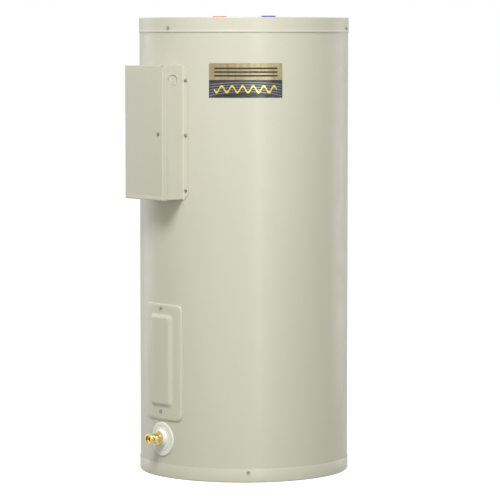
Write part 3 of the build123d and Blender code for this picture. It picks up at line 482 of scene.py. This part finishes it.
# ---- jacket: one rolled sheet with its cut-outs and a lock seam at the back ----
COLUMNS = 720
STEP = 360.0 / COLUMNS
SHEET = 1.0
ROOM_HALF_ANGLE = 11.5
ROOM_SPANS = [(743.0, 1055.0), (182.0, 439.0)]
SCREW_HOLE_R = 2.3
DRAIN_HOLE_R = 30.0
RELIEF_HOLE_R = 22.0
SEAM_Z = (42.0, 1152.0)
SEAM_END = 6.0
SEAM_HALF_ANGLE = 1.6
SEAM_PROUD = 0.75
HOLE_MARGIN = 3.0


def seam_rise(azimuth, z):
    """How far the lock seam stands proud of the jacket."""
    away = abs(azimuth % 360.0 - 180.0)
    across = max(0.0, 1 - (away / SEAM_HALF_ANGLE) ** 4)
    ends = min(1.0, max(0.0, (z - SEAM_Z[0]) / SEAM_END), max(0.0, (SEAM_Z[1] - z) / SEAM_END))
    return SEAM_PROUD * across ** 0.5 * ends


def make_jacket():
    low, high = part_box("jacket")[0].z / MM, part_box("jacket")[1].z / MM
    screw_places = TOP_SCREWS + BASE_SCREWS + FLANGE_SCREWS + PANEL_SCREWS
    holes = [(azimuth, z, SCREW_HOLE_R) for azimuth, z in screw_places]
    holes += [(0.0, DRAIN_Z, DRAIN_HOLE_R), (-90.0, RELIEF_Z, RELIEF_HOLE_R)]
    marks = {low, high, SEAM_Z[0], SEAM_Z[0] + SEAM_END, SEAM_Z[1] - SEAM_END, SEAM_Z[1]}
    for span in ROOM_SPANS:
        marks |= set(span)
    for _, z, radius in holes:
        marks |= {z - radius - HOLE_MARGIN, z + radius + HOLE_MARGIN}
    marks = sorted(m for m in marks if low <= m <= high)
    levels = [low]
    for a, b in zip(marks, marks[1:]):
        if b - a > 0.4:
            levels += spread(levels[-1], b, 14.0)[1:]
    points, index = [], {}

    def vertex(i, j):
        key = (i % COLUMNS, j)
        if key not in index:
            azimuth, z = key[0] * STEP, levels[j]
            angle, radius = math.radians(azimuth), JACKET_R + seam_rise(azimuth, z)
            index[key] = len(points)
            points.append((radius * math.sin(angle), -radius * math.cos(angle), z))
        return index[key]

    skip = set()
    faces = []

    def between(z0, z1):
        return [j for j in range(len(levels) - 1) if levels[j] > z0 - 0.01 and levels[j + 1] < z1 + 0.01]

    for z0, z1 in ROOM_SPANS:
        for i in range(round(-ROOM_HALF_ANGLE / STEP), round(ROOM_HALF_ANGLE / STEP)):
            skip |= {(i % COLUMNS, j) for j in between(z0, z1)}
    for azimuth, z, radius in holes:
        spare = math.degrees((radius + HOLE_MARGIN) / JACKET_R)
        i0, i1 = math.floor((azimuth - spare) / STEP), math.ceil((azimuth + spare) / STEP)
        reach = radius + HOLE_MARGIN - 0.1
        rows = [j for j in range(len(levels) - 1) if levels[j + 1] > z - reach and levels[j] < z + reach]
        j0, j1 = rows[0], rows[-1] + 1
        skip |= {(i % COLUMNS, j) for i in range(i0, i1) for j in range(j0, j1)}
        ring = [(i, j0) for i in range(i0, i1)] + [(i1, j) for j in range(j0, j1)]
        ring += [(i, j1) for i in range(i1, i0, -1)] + [(i0, j) for j in range(j1, j0, -1)]
        loop = []
        for i, j in ring:
            turn_angle = math.atan2(levels[j] - z, math.radians(i * STEP - azimuth) * JACKET_R)
            arc = math.radians(azimuth) + radius * math.cos(turn_angle) / JACKET_R
            loop.append(len(points))
            level = z + radius * math.sin(turn_angle)
            points.append((JACKET_R * math.sin(arc), -JACKET_R * math.cos(arc), level))
        outer = [vertex(i, j) for i, j in ring]
        for k in range(len(ring)):
            m = (k + 1) % len(ring)
            faces.append((outer[k], outer[m], loop[m], loop[k]))
    for i in range(COLUMNS):
        for j in range(len(levels) - 1):
            if (i, j) not in skip:
                faces.append((vertex(i, j), vertex(i + 1, j), vertex(i + 1, j + 1), vertex(i, j + 1)))
    return thick(points, faces, lambda p: outwards(p, -SHEET))


piece("jacket_sheet", make_jacket(), "cream_enamel", "jacket")


# ---- top pan: drawn cover with a rolled bead, and holes for the ports ----
PORT_X = 101.6
PORT_HOLE_R = 17.6
ANODE_HOLE_R = 24.2
DISC_R = 250.0
PAN_SHEET = 0.9


def make_top_pan():
    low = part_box("top_pan")[0].z / MM
    bead_r, inside_r, underside = PAN_R + 0.78, PAN_R - PAN_SHEET, HEIGHT - PAN_SHEET
    outline = [(DISC_R, HEIGHT), (PAN_R, HEIGHT), (PAN_R, low + 6.2), (bead_r, low + 5.0),
               (bead_r, low + 0.6), (PAN_R + 0.2, low)]
    outer = soften(outline, [0, 2.8, 0.5, 0.9, 0.9, 0.3], 6, closed=False)
    inner = [(PAN_R - 0.7, low), (inside_r, low + 0.5), (inside_r, HEIGHT - 2.6), (PAN_R - 2.2, underside),
             (DISC_R, underside)]
    return turn(outer + inner, COLUMNS)


def make_top_disc():
    """Flat middle of the pan with three round holes; a hair smaller than the turned rim that it closes."""
    circles = [(0.0, DISC_R - 0.02, COLUMNS), (-PORT_X, PORT_HOLE_R, 96), (0.0, ANODE_HOLE_R, 96),
               (PORT_X, PORT_HOLE_R, 96)]
    bm = bmesh.new()
    loops = []
    for centre_x, radius, count in circles:
        angles = [2 * math.pi * k / count for k in range(count)]
        ring = [bm.verts.new((centre_x + radius * math.cos(angle), radius * math.sin(angle), HEIGHT))
                for angle in angles]
        for k in range(count):
            loops.append(bm.edges.new((ring[k], ring[(k + 1) % count])))
    bmesh.ops.triangle_fill(bm, use_beauty=True, use_dissolve=False, edges=loops, normal=(0, 0, 1))
    bm.verts.index_update()
    points = [tuple(v.co) for v in bm.verts]
    faces = []
    for face in bm.faces:
        ids = [v.index for v in face.verts]
        faces.append(tuple(ids if face.normal.z > 0 else reversed(ids)))
    bm.free()
    return thick(points, faces, lambda p: p - Vector((0, 0, PAN_SHEET)))


piece("top_pan_cover", joined([make_top_pan(), make_top_disc()]), "cream_enamel", "top_pan")


# ---- base pan ----
def make_base_pan():
    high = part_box("base_pan")[1].z / MM
    inside_r, floor_top = PAN_R - PAN_SHEET, 1.5
    outer = soften([(0, 0), (PAN_R, 0), (PAN_R, high)], [0, 4.2, 0], 8, closed=False)
    inner = soften([(inside_r, high), (inside_r, floor_top), (0, floor_top)], [0, 3.2, 0], 6, closed=False)
    rim = [(PAN_R, high - 0.4), (PAN_R - 0.2, high), (PAN_R - 0.7, high)]
    return turn(outer[:-1] + rim + inner[1:], COLUMNS)


piece("base_pan_tray", make_base_pan(), "cream_enamel", "base_pan")


# ---- badge: plain two-tone foil plate with generic bars and lines, no lettering ----
BADGE_AZIMUTH = 51.5
BADGE_ARC = 191.0
BADGE_Z = (991.0, 1079.0)
BADGE_R = JACKET_R + 0.3


def badge_point(s, z, radius):
    angle = math.radians(BADGE_AZIMUTH) + (s - BADGE_ARC / 2) / JACKET_R
    return Vector((radius * math.sin(angle), -radius * math.cos(angle), z))


def badge_strip(s_span, low_edge, high_edge, r_span, step=3.0):
    """Raised strip of foil; its edges are functions of the distance along the badge."""
    stations = spread(*s_span, step)
    loops = []
    for s in stations:
        z0, z1 = low_edge(s), high_edge(s)
        loops.append([badge_point(s, z0, r_span[0]), badge_point(s, z1, r_span[0]),
                      badge_point(s, z1, r_span[1]), badge_point(s, z0, r_span[1])])
    return loft(loops)


def flat_line(value):
    return lambda s: value


BADGE_SPLIT = 1036.5
FOIL_R = (BADGE_R, BADGE_R + 0.22)
INK_R = (BADGE_R + 0.1, BADGE_R + 0.33)
piece("badge_upper", badge_strip((0, BADGE_ARC), flat_line(BADGE_SPLIT), flat_line(BADGE_Z[1]), FOIL_R),
      "badge_foil", "front_badge")
piece("badge_lower", badge_strip((0, BADGE_ARC), flat_line(BADGE_Z[0]), flat_line(BADGE_SPLIT), FOIL_R),
      "badge_foil", "front_badge", False, "badge_dark")
BAR_TALL = 4.6
BAR_LEVELS = [1045.0 + 9.4 * k for k in range(3)]
bars = [badge_strip((14, 178), flat_line(z), flat_line(z + BAR_TALL), INK_R) for z in BAR_LEVELS]
piece("badge_bars", joined(bars), "badge_foil", "front_badge", False, "badge_ink")
EDGE_TALL = 0.9
edge_frame = [badge_strip((0, BADGE_ARC), flat_line(z), flat_line(z + EDGE_TALL), INK_R)
              for z in (BADGE_Z[0], BADGE_Z[1] - EDGE_TALL)]
piece("badge_frame", joined(edge_frame), "badge_foil", "front_badge", False, "badge_grey")


def sweep_edge(level, rise):
    """A line that bows up by rise in the middle of the badge."""
    return lambda s: level + rise * (1 - ((s - BADGE_ARC / 2) / (BADGE_ARC / 2)) ** 2)


def make_sweep(level, rise):
    return badge_strip((2, BADGE_ARC - 2), sweep_edge(level, rise), sweep_edge(level + 2.2, rise), INK_R)


sweeps = [make_sweep(995.0 + 7.2 * k, 11.0 - 1.4 * k) for k in range(5)]
piece("badge_sweeps", joined(sweeps), "badge_foil", "front_badge", False, "badge_grey")


RIPPLE_LENGTH = 27.0
RIPPLE_RISE = 8.0
GOLD_R = (BADGE_R + 0.2, BADGE_R + 0.4)


def ripple_edge(level):
    return lambda s: level + RIPPLE_RISE * math.sin(2 * math.pi * s / RIPPLE_LENGTH)


piece("badge_ripples", badge_strip((14, 176), ripple_edge(1010.0), ripple_edge(1016.0), GOLD_R, 1.0),
      "badge_foil", "front_badge", False, "badge_gold")


# ---- control box ----
PLATE = 1.2
COVER_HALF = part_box("box_cover")[1].x / MM
COVER_Z = (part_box("box_cover")[0].z / MM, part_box("box_cover")[1].z / MM)
COVER_FRONT = -335.0
COVER_LIP = 16.0
BOX_LEFT = -(COVER_HALF - PLATE - 0.4)
BOX_RIGHT = COVER_HALF - PLATE - 1.3
BOX_Z = (COVER_Z[0] + 1.8, COVER_Z[1] - 1.8)
BOX_FRONT = -332.0
FLANGE_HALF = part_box("control_box")[1].x / MM
CORNER_CUT = 12.0
HINGE = (-COVER_HALF - 2.0, -316.5)
HINGE_LEVELS = (800.0, 998.0)
KNOCKOUT_Y, KNOCKOUT_Z, KNOCKOUT_R = -300.0, 1035.0, 14.4
COVER_SCREW = (62.0, 899.0)


def skin_y(x, radius=SKIN_R):
    return -math.sqrt(radius ** 2 - x ** 2)


def box_side(wall, side):
    """Side wall with a bend at the jacket and a flange that follows it, its two end corners cut off."""
    bend = 2.0
    foot = skin_y(wall)
    path = [(wall, y, 0) for y in spread(BOX_FRONT, foot - bend - 1.0, 5.0)]
    centre = (wall + side * (bend + PLATE), foot - bend - PLATE * 0.7)
    for k in range(1, 7):
        t = math.pi / 2 * k / 7
        x = centre[0] - side * (bend + PLATE) * math.cos(t)
        path.append((x, centre[1] + (bend + PLATE * 0.7) * math.sin(t), k / 7))
    flange = spread(abs(wall) + bend + PLATE + 0.6, FLANGE_HALF, 1.5)
    path += [(side * x, skin_y(x, SKIN_R + 0.1), 1) for x in flange]
    rows, steps = [], 48
    for x, y, flat in path:
        past = max(0.0, abs(x) - (FLANGE_HALF - CORNER_CUT))
        low = BOX_Z[0] + (COVER_Z[0] - BOX_Z[0]) * flat + past
        high = BOX_Z[1] + (COVER_Z[1] - BOX_Z[1]) * flat - past
        rows.append([Vector((x, y, low + (high - low) * k / steps)) for k in range(steps + 1)])
    return rows


def inner_side(rows, side):
    """Other side of the wall's sheet: inwards from the wall, outwards from the flange."""
    result = []
    for i, row in enumerate(rows):
        before, after = rows[max(0, i - 1)][0], rows[min(len(rows) - 1, i + 1)][0]
        run = Vector((after.x - before.x, after.y - before.y, 0)).normalized()
        normal = Vector((run.y, -run.x, 0)) * side
        result.append([p + normal * PLATE for p in row])
    return result


def sheet_between(first, second):
    points, faces = grid(first)
    other = [p for row in second for p in row]
    lookup = {tuple(points[i]): other[i] for i in range(len(points))}
    return thick(points, faces, lambda p: lookup[tuple(p)])


def box_plate(z, thickness):
    """Top or bottom plate of the box; its back edge follows the jacket."""
    rows = []
    for x in spread(BOX_LEFT + PLATE, BOX_RIGHT - PLATE, 6.0):
        back = skin_y(x)
        rows.append([Vector((x, BOX_FRONT + (back - BOX_FRONT) * k / 8, z)) for k in range(9)])
    points, faces = grid(rows)
    return thick(points, faces, lambda p: p + Vector((0, 0, thickness)))


def knuckle(z_span):
    """Hinge barrel with its bore."""
    profile = soften([(1.35, z_span[0]), (2.6, z_span[0]), (2.6, z_span[1]), (1.35, z_span[1])], 0.25, 2)
    return moved(turn(profile, 28), Matrix.Translation((HINGE[0], HINGE[1], 0)))


left_rows = box_side(BOX_LEFT, -1)
right_rows = box_side(BOX_RIGHT, 1)
knock_seat = basis((BOX_RIGHT, KNOCKOUT_Y, KNOCKOUT_Z), (1, 0, 0))
right_wall = sheet_between(right_rows, inner_side(right_rows, 1))
box_parts = [sheet_between(left_rows, inner_side(left_rows, -1)),
             drilled(right_wall, [peg(KNOCKOUT_R, knock_seat, -4.0, 4.0)]),
             box_plate(BOX_Z[0], PLATE), box_plate(BOX_Z[1], -PLATE)]
screw_tab = (COVER_SCREW[1] - 15.0, COVER_SCREW[1] + 15.0)
box_parts.append(bar((46.0, BOX_RIGHT - PLATE), (BOX_FRONT, BOX_FRONT + PLATE), screw_tab))
for z in HINGE_LEVELS:
    for span in ((z - 22.0, z - 8.4), (z + 8.4, z + 22.0)):
        box_parts.append(knuckle(span))
        box_parts.append(bar((HINGE[0] + 2.0, BOX_LEFT + 0.1), (HINGE[1], HINGE[1] + 16.0), span))
piece("control_box_shell", joined(box_parts), "cream_enamel", "control_box")


# ---- box cover: shallow pan with closed corners, a hem along its foot and hinge knuckles ----
def make_cover():
    """Front and four lips with rounded folds, as loops that go from the lips' free edge over to the front."""
    half, (low, high) = COVER_HALF, COVER_Z
    middle_z, half_z = (low + high) / 2, (high - low) / 2

    def loop(inset, y, corner):
        wide, tall = half - inset, half_z - inset
        corners = [(-wide, -tall), (wide, -tall), (wide, tall), (-wide, tall)]
        return [Vector((px, y, pz + middle_z)) for px, pz in soften(corners, corner, 4)]

    bend = 1.6
    back = COVER_FRONT + COVER_LIP
    outer = [loop(0.0, back, 0.8), loop(0.0, COVER_FRONT + bend, 0.8)]
    for k in range(1, 6):
        t = math.pi / 2 * k / 5
        outer.append(loop(bend * (1 - math.cos(t)), COVER_FRONT + bend * (1 - math.sin(t)), 0.8))
    inner = [loop(bend, COVER_FRONT + PLATE, 0.5), loop(PLATE, COVER_FRONT + bend, 0.3),
             loop(PLATE, back, 0.3)]
    count = len(outer[0])
    points = [p for ring in outer + inner for p in ring]
    first_inner = len(outer) * count
    faces = band_faces(0, len(outer), count)
    faces.append(tuple(first_inner - count + i for i in range(count)))
    faces.append(tuple(reversed([first_inner + i for i in range(count)])))
    faces += band_faces(first_inner, len(inner), count)
    last = first_inner + (len(inner) - 1) * count
    for i in range(count):
        faces.append((last + i, last + (i + 1) % count, (i + 1) % count, i))
    return points, faces


hem = bar((-COVER_HALF + 2.0, COVER_HALF - 2.0), (COVER_FRONT - 0.6, COVER_FRONT + 0.3),
          (COVER_Z[0] + 1.0, COVER_Z[0] + 9.0), 0.35)
notch_seat = basis((COVER_HALF - 1.5, COVER_FRONT, COVER_Z[1] - 1.5), (0, -1, 0))
cover_parts = [drilled(make_cover(), [peg(2.4, notch_seat, -6.0, 4.0)]), hem]
leaf_x = (-COVER_HALF, -COVER_HALF + PLATE)
leaf_y = (COVER_FRONT + COVER_LIP - 1.0, HINGE[1])
for z in HINGE_LEVELS:
    span = (z - 8.0, z + 8.0)
    cover_parts.append(knuckle(span))
    cover_parts.append(bar(leaf_x, leaf_y, span))
piece("box_cover_pan", joined(cover_parts), "cream_enamel", "box_cover")
cover_seat = basis((COVER_SCREW[0], COVER_FRONT, COVER_SCREW[1]), (0, -1, 0))
piece("cover_screw_hex", moved(screw(), cover_seat), "zinc_steel", "cover_screw")

disc_r = KNOCKOUT_R - 0.5
knock_outline = [(0, -PLATE), (disc_r, -PLATE), (disc_r, 0), (12.6, 0), (12.2, -0.8), (10.6, -0.8),
                 (10.2, 0), (0, 0)]
knock_profile = soften(knock_outline, [0, 0.1, 0.4, 0.4, 0.3, 0.3, 0.4, 0], 3)
piece("knockout_disc", moved(turn(knock_profile, 64), knock_seat), "cream_enamel", "conduit_knockout")


# ---- access panel: one pressed sheet, its raised field bevelled on all sides ----
PANEL_HALF = 73.5
PANEL_Z = (150.0, 455.0)
FIELD_HALF = 46.0
FIELD_Z = (184.0, 429.0)
FIELD_RISE = 5.5
FIELD_DRAFT = 2.1
RIM = 8.0


def panel_loop(half, low, high, corner, radius):
    """Rounded rectangle on the jacket's curve, with the same number of points at any size."""
    points = []
    corner = max(corner, 0.4)
    straight_x, straight_z = half - corner, (high - low) / 2 - corner
    middle = (low + high) / 2
    for start, (sx, sz) in zip((0, 90, 180, 270), ((1, 1), (-1, 1), (-1, -1), (1, -1))):
        for k in range(9):
            t = math.radians(start + 90 * k / 8)
            x = sx * straight_x + corner * math.cos(t)
            points.append((x, middle + sz * straight_z + corner * math.sin(t)))
        if start in (0, 180):
            for k in range(1, 16):
                points.append((sx * straight_x * (1 - 2 * k / 16), middle + sz * (straight_z + corner)))
        else:
            for k in range(1, 40):
                points.append((sx * (straight_x + corner), middle + sz * straight_z * (1 - 2 * k / 40)))
    return [Vector((x, -math.sqrt(radius ** 2 - x ** 2), z)) for x, z in points]


def rim_loop(inset, radius):
    """The panel's outline, drawn in by inset."""
    return panel_loop(PANEL_HALF - inset, PANEL_Z[0] + inset, PANEL_Z[1] - inset, 18.0 - inset, radius)


def flat_loop(share, radius):
    """Outline between the rim, at share 0, and the foot of the raised field, at share 1."""
    half = PANEL_HALF - RIM + (FIELD_HALF - PANEL_HALF + RIM) * share
    low = PANEL_Z[0] + RIM + (FIELD_Z[0] - PANEL_Z[0] - RIM) * share
    high = PANEL_Z[1] - RIM + (FIELD_Z[1] - PANEL_Z[1] + RIM) * share
    return panel_loop(half, low, high, 10.0 + 3.0 * share, radius)


def field_loop(shrink, corner, radius):
    """The raised field's outline, drawn in by shrink."""
    return panel_loop(FIELD_HALF - shrink, FIELD_Z[0] + shrink, FIELD_Z[1] - shrink, corner, radius)


def make_panel():
    wall_drop = PANEL_R - SKIN_R
    sections = [(0.0, wall_drop, 0.0)]
    for k in range(11):
        t = math.pi / 2 * k / 10
        sections.append((RIM * (1 - math.cos(t)), (wall_drop - 0.9) * (1 - math.sin(t)), t))
    loops_out, loops_in = [], []
    for inset, drop, t in sections:
        loops_out.append(rim_loop(inset, PANEL_R - drop))
        inner_drop = min(drop + PLATE * math.sin(t), wall_drop)
        loops_in.append(rim_loop(inset + PLATE * math.cos(t), PANEL_R - inner_drop))
    for share in spread(0.0, 0.86, 0.15)[1:]:
        loops_out.append(flat_loop(share, PANEL_R))
        loops_in.append(flat_loop(share, PANEL_R - PLATE))
    run = FIELD_DRAFT * FIELD_RISE
    for k in range(-2, 15):
        t = k / 12
        smooth = min(1.0, max(0.0, t))
        eased = smooth - 0.32 * math.sin(2 * math.pi * smooth) / (2 * math.pi)
        shrink = run * t
        corner = 13.0 - shrink * 0.55
        radius = PANEL_R + FIELD_RISE * eased
        loops_out.append(field_loop(shrink, corner, radius))
        loops_in.append(field_loop(shrink, corner, radius - PLATE))
    last = run * 14 / 12
    top_r = PANEL_R + FIELD_RISE
    for k in range(1, 9):
        half = (FIELD_HALF - last) * (1 - k / 8) + 1.2 * k / 8
        corner = max(0.5, 5.0 * (1 - k / 8))
        loops_out.append(field_loop(FIELD_HALF - half, corner, top_r))
        loops_in.append(field_loop(FIELD_HALF - half, corner, top_r - PLATE))
    count = len(loops_out[0])
    points = [p for loop in loops_out for p in loop]
    faces = band_faces(0, len(loops_out), count)
    base = (len(loops_out) - 1) * count
    faces.append(tuple(base + i for i in range(count)))
    other = [p for loop in loops_in for p in loop]
    total = len(points)
    result = faces + [tuple(total + i for i in reversed(face)) for face in faces]
    for i in range(count):
        result.append(((i + 1) % count, i, total + i, total + (i + 1) % count))
    return points + other, result


piece("access_panel_sheet", make_panel(), "cream_enamel", "access_panel")


# ---- drain: plastic bezel on the jacket and a brass ball valve ----
BEZEL_Z = 100.0
BEZEL_R = 44.5
BEZEL_THICK = 3.2
BALL_Y = -302.8
HUB_FRONT = 287.7
BOSS_X = 13.5
BONNET_X = 19.5
STEM_X = 20.4
STEM_R = 3.6
HALF_SLOT = 0.7
stem_seat = basis((0, BALL_Y, DRAIN_Z), (1, 0, 0))


def make_bezel():
    """Ring of plastic that hugs the jacket: rounded rim, a pressed groove and a tapered hub at the valve."""
    face = SKIN_R + BEZEL_THICK
    rise = HUB_FRONT - face
    outline = [(BEZEL_R, -BEZEL_THICK), (BEZEL_R, 0.0), (33.6, 0.0), (33.2, -0.7), (31.2, -0.7), (30.8, 0.0),
               (24.2, 0.0), (18.9, rise), (15.2, rise), (15.2, -BEZEL_THICK)]
    profile = soften(outline, [0.2, 2.4, 0.5, 0.4, 0.4, 0.5, 2.0, 1.2, 0.5, 0.2], 5)
    segments = 120
    points = []
    for i in range(segments):
        angle = 2 * math.pi * i / segments
        for reach, lift in profile:
            x = reach * math.cos(angle)
            shift = (DRAIN_Z - BEZEL_Z) * max(0.0, min(1.0, (30.0 - reach) / 8.0))
            z = BEZEL_Z + shift + reach * math.sin(angle)
            points.append(Vector((x, -math.sqrt((face + lift) ** 2 - x ** 2), z)))
    return points, ring_faces(segments, len(profile))


piece("bezel_disc", make_bezel(), "white_plastic", "drain_bezel")

THREAD = (315.1, 323.3)
THREAD_PITCH = 2.2
THREAD_DEPTH = 1.15


def thread(level, angle):
    """Helical garden-hose thread on the outlet; level is the distance in front of the heater's axis."""
    if not THREAD[0] <= level <= THREAD[1]:
        return 0.0
    phase = (level / THREAD_PITCH + angle / (2 * math.pi)) % 1.0
    ridge = 0.5 - 0.5 * math.cos(2 * math.pi * phase)
    fade = min(1.0, (level - THREAD[0]) / 1.2, (THREAD[1] - level) / 1.2)
    return -THREAD_DEPTH * (1 - ridge) * max(0.0, fade)


def make_drain_body():
    seat = basis((0, 0, DRAIN_Z), (0, -1, 0))
    hex_back, hex_front, barrel_end, outlet_end = 288.0, 292.4, 313.0, 324.0
    shank = soften([(6.5, 224.0), (10.6, 224.0), (10.6, hex_back + 0.5), (6.5, hex_back + 0.5)], 0.2, 2)
    flange = loft([hexagon_loop(31.6, hex_back, 1.2), hexagon_loop(33.0, hex_back + 0.8, 1.2),
                   hexagon_loop(33.0, hex_front - 0.9, 1.2), hexagon_loop(31.0, hex_front, 1.2)])
    outer = [(10.5, hex_front - 1.0), (11.6, hex_front - 1.0), (11.6, hex_front + 1.0),
             (12.5, hex_front + 4.0), (12.5, barrel_end - 1.8), (8.8, barrel_end + 0.2),
             (8.8, barrel_end + 1.1), (12.2, THREAD[0] - 0.3)]
    outer = soften(outer, [0, 0, 0.8, 2.8, 3.6, 0.6, 0.6, 0], 6, closed=False)
    rows = [(13.3, level) for level in spread(THREAD[0], THREAD[1], 0.22)]
    mouth = [(12.5, outlet_end - 0.1), (11.4, outlet_end), (9.9, outlet_end), (9.4, outlet_end - 0.5),
             (9.4, 316.7), (6.5, 316.4), (6.5, 311.7), (8.9, 311.7), (8.9, 294.0), (6.5, 293.9),
             (6.5, hex_front - 1.0)]
    barrel = turn(outer + rows + mouth, 96, thread)
    boss = turn(soften([(3.95, 9.4), (9.0, 9.4), (9.0, BOSS_X), (3.95, BOSS_X)], [0, 0, 0.5, 0.2], 3), 64)
    on_axis = [moved(section, seat) for section in (turn(shank, 48), flange, barrel)]
    return joined(on_axis + [moved(boss, stem_seat)])


piece("drain_valve", make_drain_body(), "valve_brass", "drain_body")

bonnet_outline = [(3.95, BOSS_X + 0.1), (9.7, BOSS_X + 0.1), (9.7, BONNET_X - 2.3), (6.2, BONNET_X),
                  (3.95, BONNET_X)]
bonnet = turn(soften(bonnet_outline, [0.1, 0.5, 3.2, 1.4, 0.3], 7), 72)
piece("valve_bonnet", moved(bonnet, stem_seat), "valve_brass", "drain_bonnet")


def make_stem():
    """Slotted stem end: a round shank, and above the slot's floor two half-round lands."""
    slot_floor = STEM_X - 1.7
    shank = [(0, 7.4), (STEM_R, 7.4), (STEM_R, slot_floor), (0, slot_floor)]
    parts = [turn(soften(shank, [0, 0.2, 0, 0], 2), 40)]
    start = math.asin(HALF_SLOT / STEM_R)
    angles = [start + (math.pi - 2 * start) * k / 16 for k in range(17)]
    for side in (-1, 1):
        arc = [(STEM_R * math.cos(angle), side * STEM_R * math.sin(angle)) for angle in angles]
        inset = [(x * 0.86, side * (HALF_SLOT + (abs(y) - HALF_SLOT) * 0.84)) for x, y in arc]
        levels = [(arc, STEM_X - 1.8), (arc, STEM_X - 0.5), (inset, STEM_X)]
        parts.append(loft([[(x, y, level) for x, y in outline] for outline, level in levels]))
    return joined(parts)


slot_seat = stem_seat @ Matrix.Rotation(math.pi / 2, 4, "Z")
piece("valve_stem", moved(make_stem(), slot_seat), "valve_brass", "drain_stem")


# ---- ports: levels count up from the top pan's face ----
def on_top(outline, radii, steps):
    return turn(soften([(radius, HEIGHT + level) for radius, level in outline], radii, steps))


def port_ring(x):
    outline = [(17.3, 0.05), (19.0, 0.05), (19.0, 5.0), (12.8, 5.0), (12.8, 2.1), (17.3, 2.1)]
    return moved(on_top(outline, [0.1, 0.2, 1.6, 0.8, 0.1, 0.1], 5), Matrix.Translation((x, 0, 0)))


piece("hot_ring", port_ring(-PORT_X), "red_plastic", "hot_port_ring")
piece("cold_ring", port_ring(PORT_X), "blue_plastic", "cold_port_ring")
cap_outline = [(0, 2.55), (14.0, 2.45), (25.4, 1.9), (25.4, 0.05), (23.7, 0.05), (23.7, -10.0), (22.5, -10.0),
               (22.5, 0.2), (0, 0.2)]
cap = on_top(cap_outline, [0, 4.0, 0.9, 0.2, 0.1, 0.4, 0.4, 0.4, 0], 4)
piece("anode_plug_cap", cap, "cream_plastic", "anode_cap")


# ---- stage, light and camera ----
def stage_material():
    material = bpy.data.materials.new("pale_floor")
    material.use_nodes = True
    tree = material.node_tree
    shader = tree.nodes["Principled BSDF"]
    color = ramp(tree, texture(tree, "noise", 3.0), [lin(250, 250, 249), lin(254, 254, 253)])
    shader.inputs["Base Color"].default_value = (0.3, 0.3, 0.3, 1)
    tree.links.new(color, shader.inputs["Emission Color"])
    shader.inputs["Emission Strength"].default_value = 1.0
    shader.inputs["Roughness"].default_value = 0.9
    return material


def make_floor():
    mesh = bpy.data.meshes.new("floor")
    reach, rows = 30.0, []
    for i in range(13):
        rows.append([(-reach + 2 * reach * i / 12, -reach + 2 * reach * k / 12, -0.0005) for k in range(13)])
    points, faces = grid(rows)
    mesh.from_pydata(points, [], faces)
    floor = bpy.data.objects.new("floor", mesh)
    bpy.context.scene.collection.objects.link(floor)
    mesh.materials.append(stage_material())
    floor.visible_diffuse = False
    floor.visible_glossy = False
    floor.visible_shadow = False


make_floor()

CAMERA_AZIMUTH = 50.4865
CAMERA_DISTANCE = 7.3878
CAMERA_HEIGHT = 1.1311
CAMERA_PITCH = -4.2555
CAMERA_YAW = 0.1263


def around(azimuth, distance, height):
    angle = math.radians(azimuth)
    return Vector((distance * math.sin(angle), -distance * math.cos(angle), height))


camera = bpy.data.objects.new("camera", bpy.data.cameras.new("camera"))
camera.data.lens = 200.45
camera.data.sensor_width = 36.0
camera.data.clip_end = 100.0
camera.location = around(CAMERA_AZIMUTH, CAMERA_DISTANCE, CAMERA_HEIGHT)
camera.rotation_euler = (math.radians(90 + CAMERA_PITCH), 0, math.radians(CAMERA_AZIMUTH - CAMERA_YAW))
bpy.context.scene.collection.objects.link(camera)
bpy.context.scene.camera = camera


def soft_light(name, turn_from_camera, distance, height, size, power, aim=0.6):
    light = bpy.data.lights.new(name, "AREA")
    light.shape = "RECTANGLE"
    light.size, light.size_y = size
    light.energy = power
    obj = bpy.data.objects.new(name, light)
    obj.location = around(CAMERA_AZIMUTH + turn_from_camera, distance, height)
    obj.rotation_euler = (Vector((0, 0, aim)) - obj.location).to_track_quat("-Z", "Y").to_euler()
    obj.visible_camera = False
    bpy.context.scene.collection.objects.link(obj)


soft_light("above", -10.0, 3.2, 3.8, (2.2, 1.4), 164.0, 0.7)
soft_light("strip", 16.0, 4.0, 1.0, (0.55, 2.6), 31.0)
soft_light("left_rim", -126.0, 3.2, 1.0, (1.6, 2.6), 17.0)
soft_light("right_rim", 125.0, 3.2, 1.1, (1.6, 2.6), 17.0)

world = bpy.data.worlds.new("studio")
bpy.context.scene.world = world
world.use_nodes = True
tree = world.node_tree
backdrop = tree.nodes["Background"]
backdrop.inputs["Color"].default_value = (1, 1, 1, 1)
backdrop.inputs["Strength"].default_value = 1.0
fill = tree.nodes.new("ShaderNodeBackground")
fill.inputs["Color"].default_value = (0.98, 1, 0.84, 1)
fill.inputs["Strength"].default_value = 0.31
path = tree.nodes.new("ShaderNodeLightPath")
share = tree.nodes.new("ShaderNodeMixShader")
seen = tree.nodes.new("ShaderNodeMath")
seen.operation = "MAXIMUM"
tree.links.new(path.outputs["Is Camera Ray"], seen.inputs[0])
tree.links.new(path.outputs["Is Glossy Ray"], seen.inputs[1])
tree.links.new(seen.outputs["Value"], share.inputs["Fac"])
tree.links.new(fill.outputs["Background"], share.inputs[1])
tree.links.new(backdrop.outputs["Background"], share.inputs[2])
tree.links.new(share.outputs["Shader"], tree.nodes["World Output"].inputs["Surface"])

bpy.context.scene.view_settings.view_transform = "Standard"
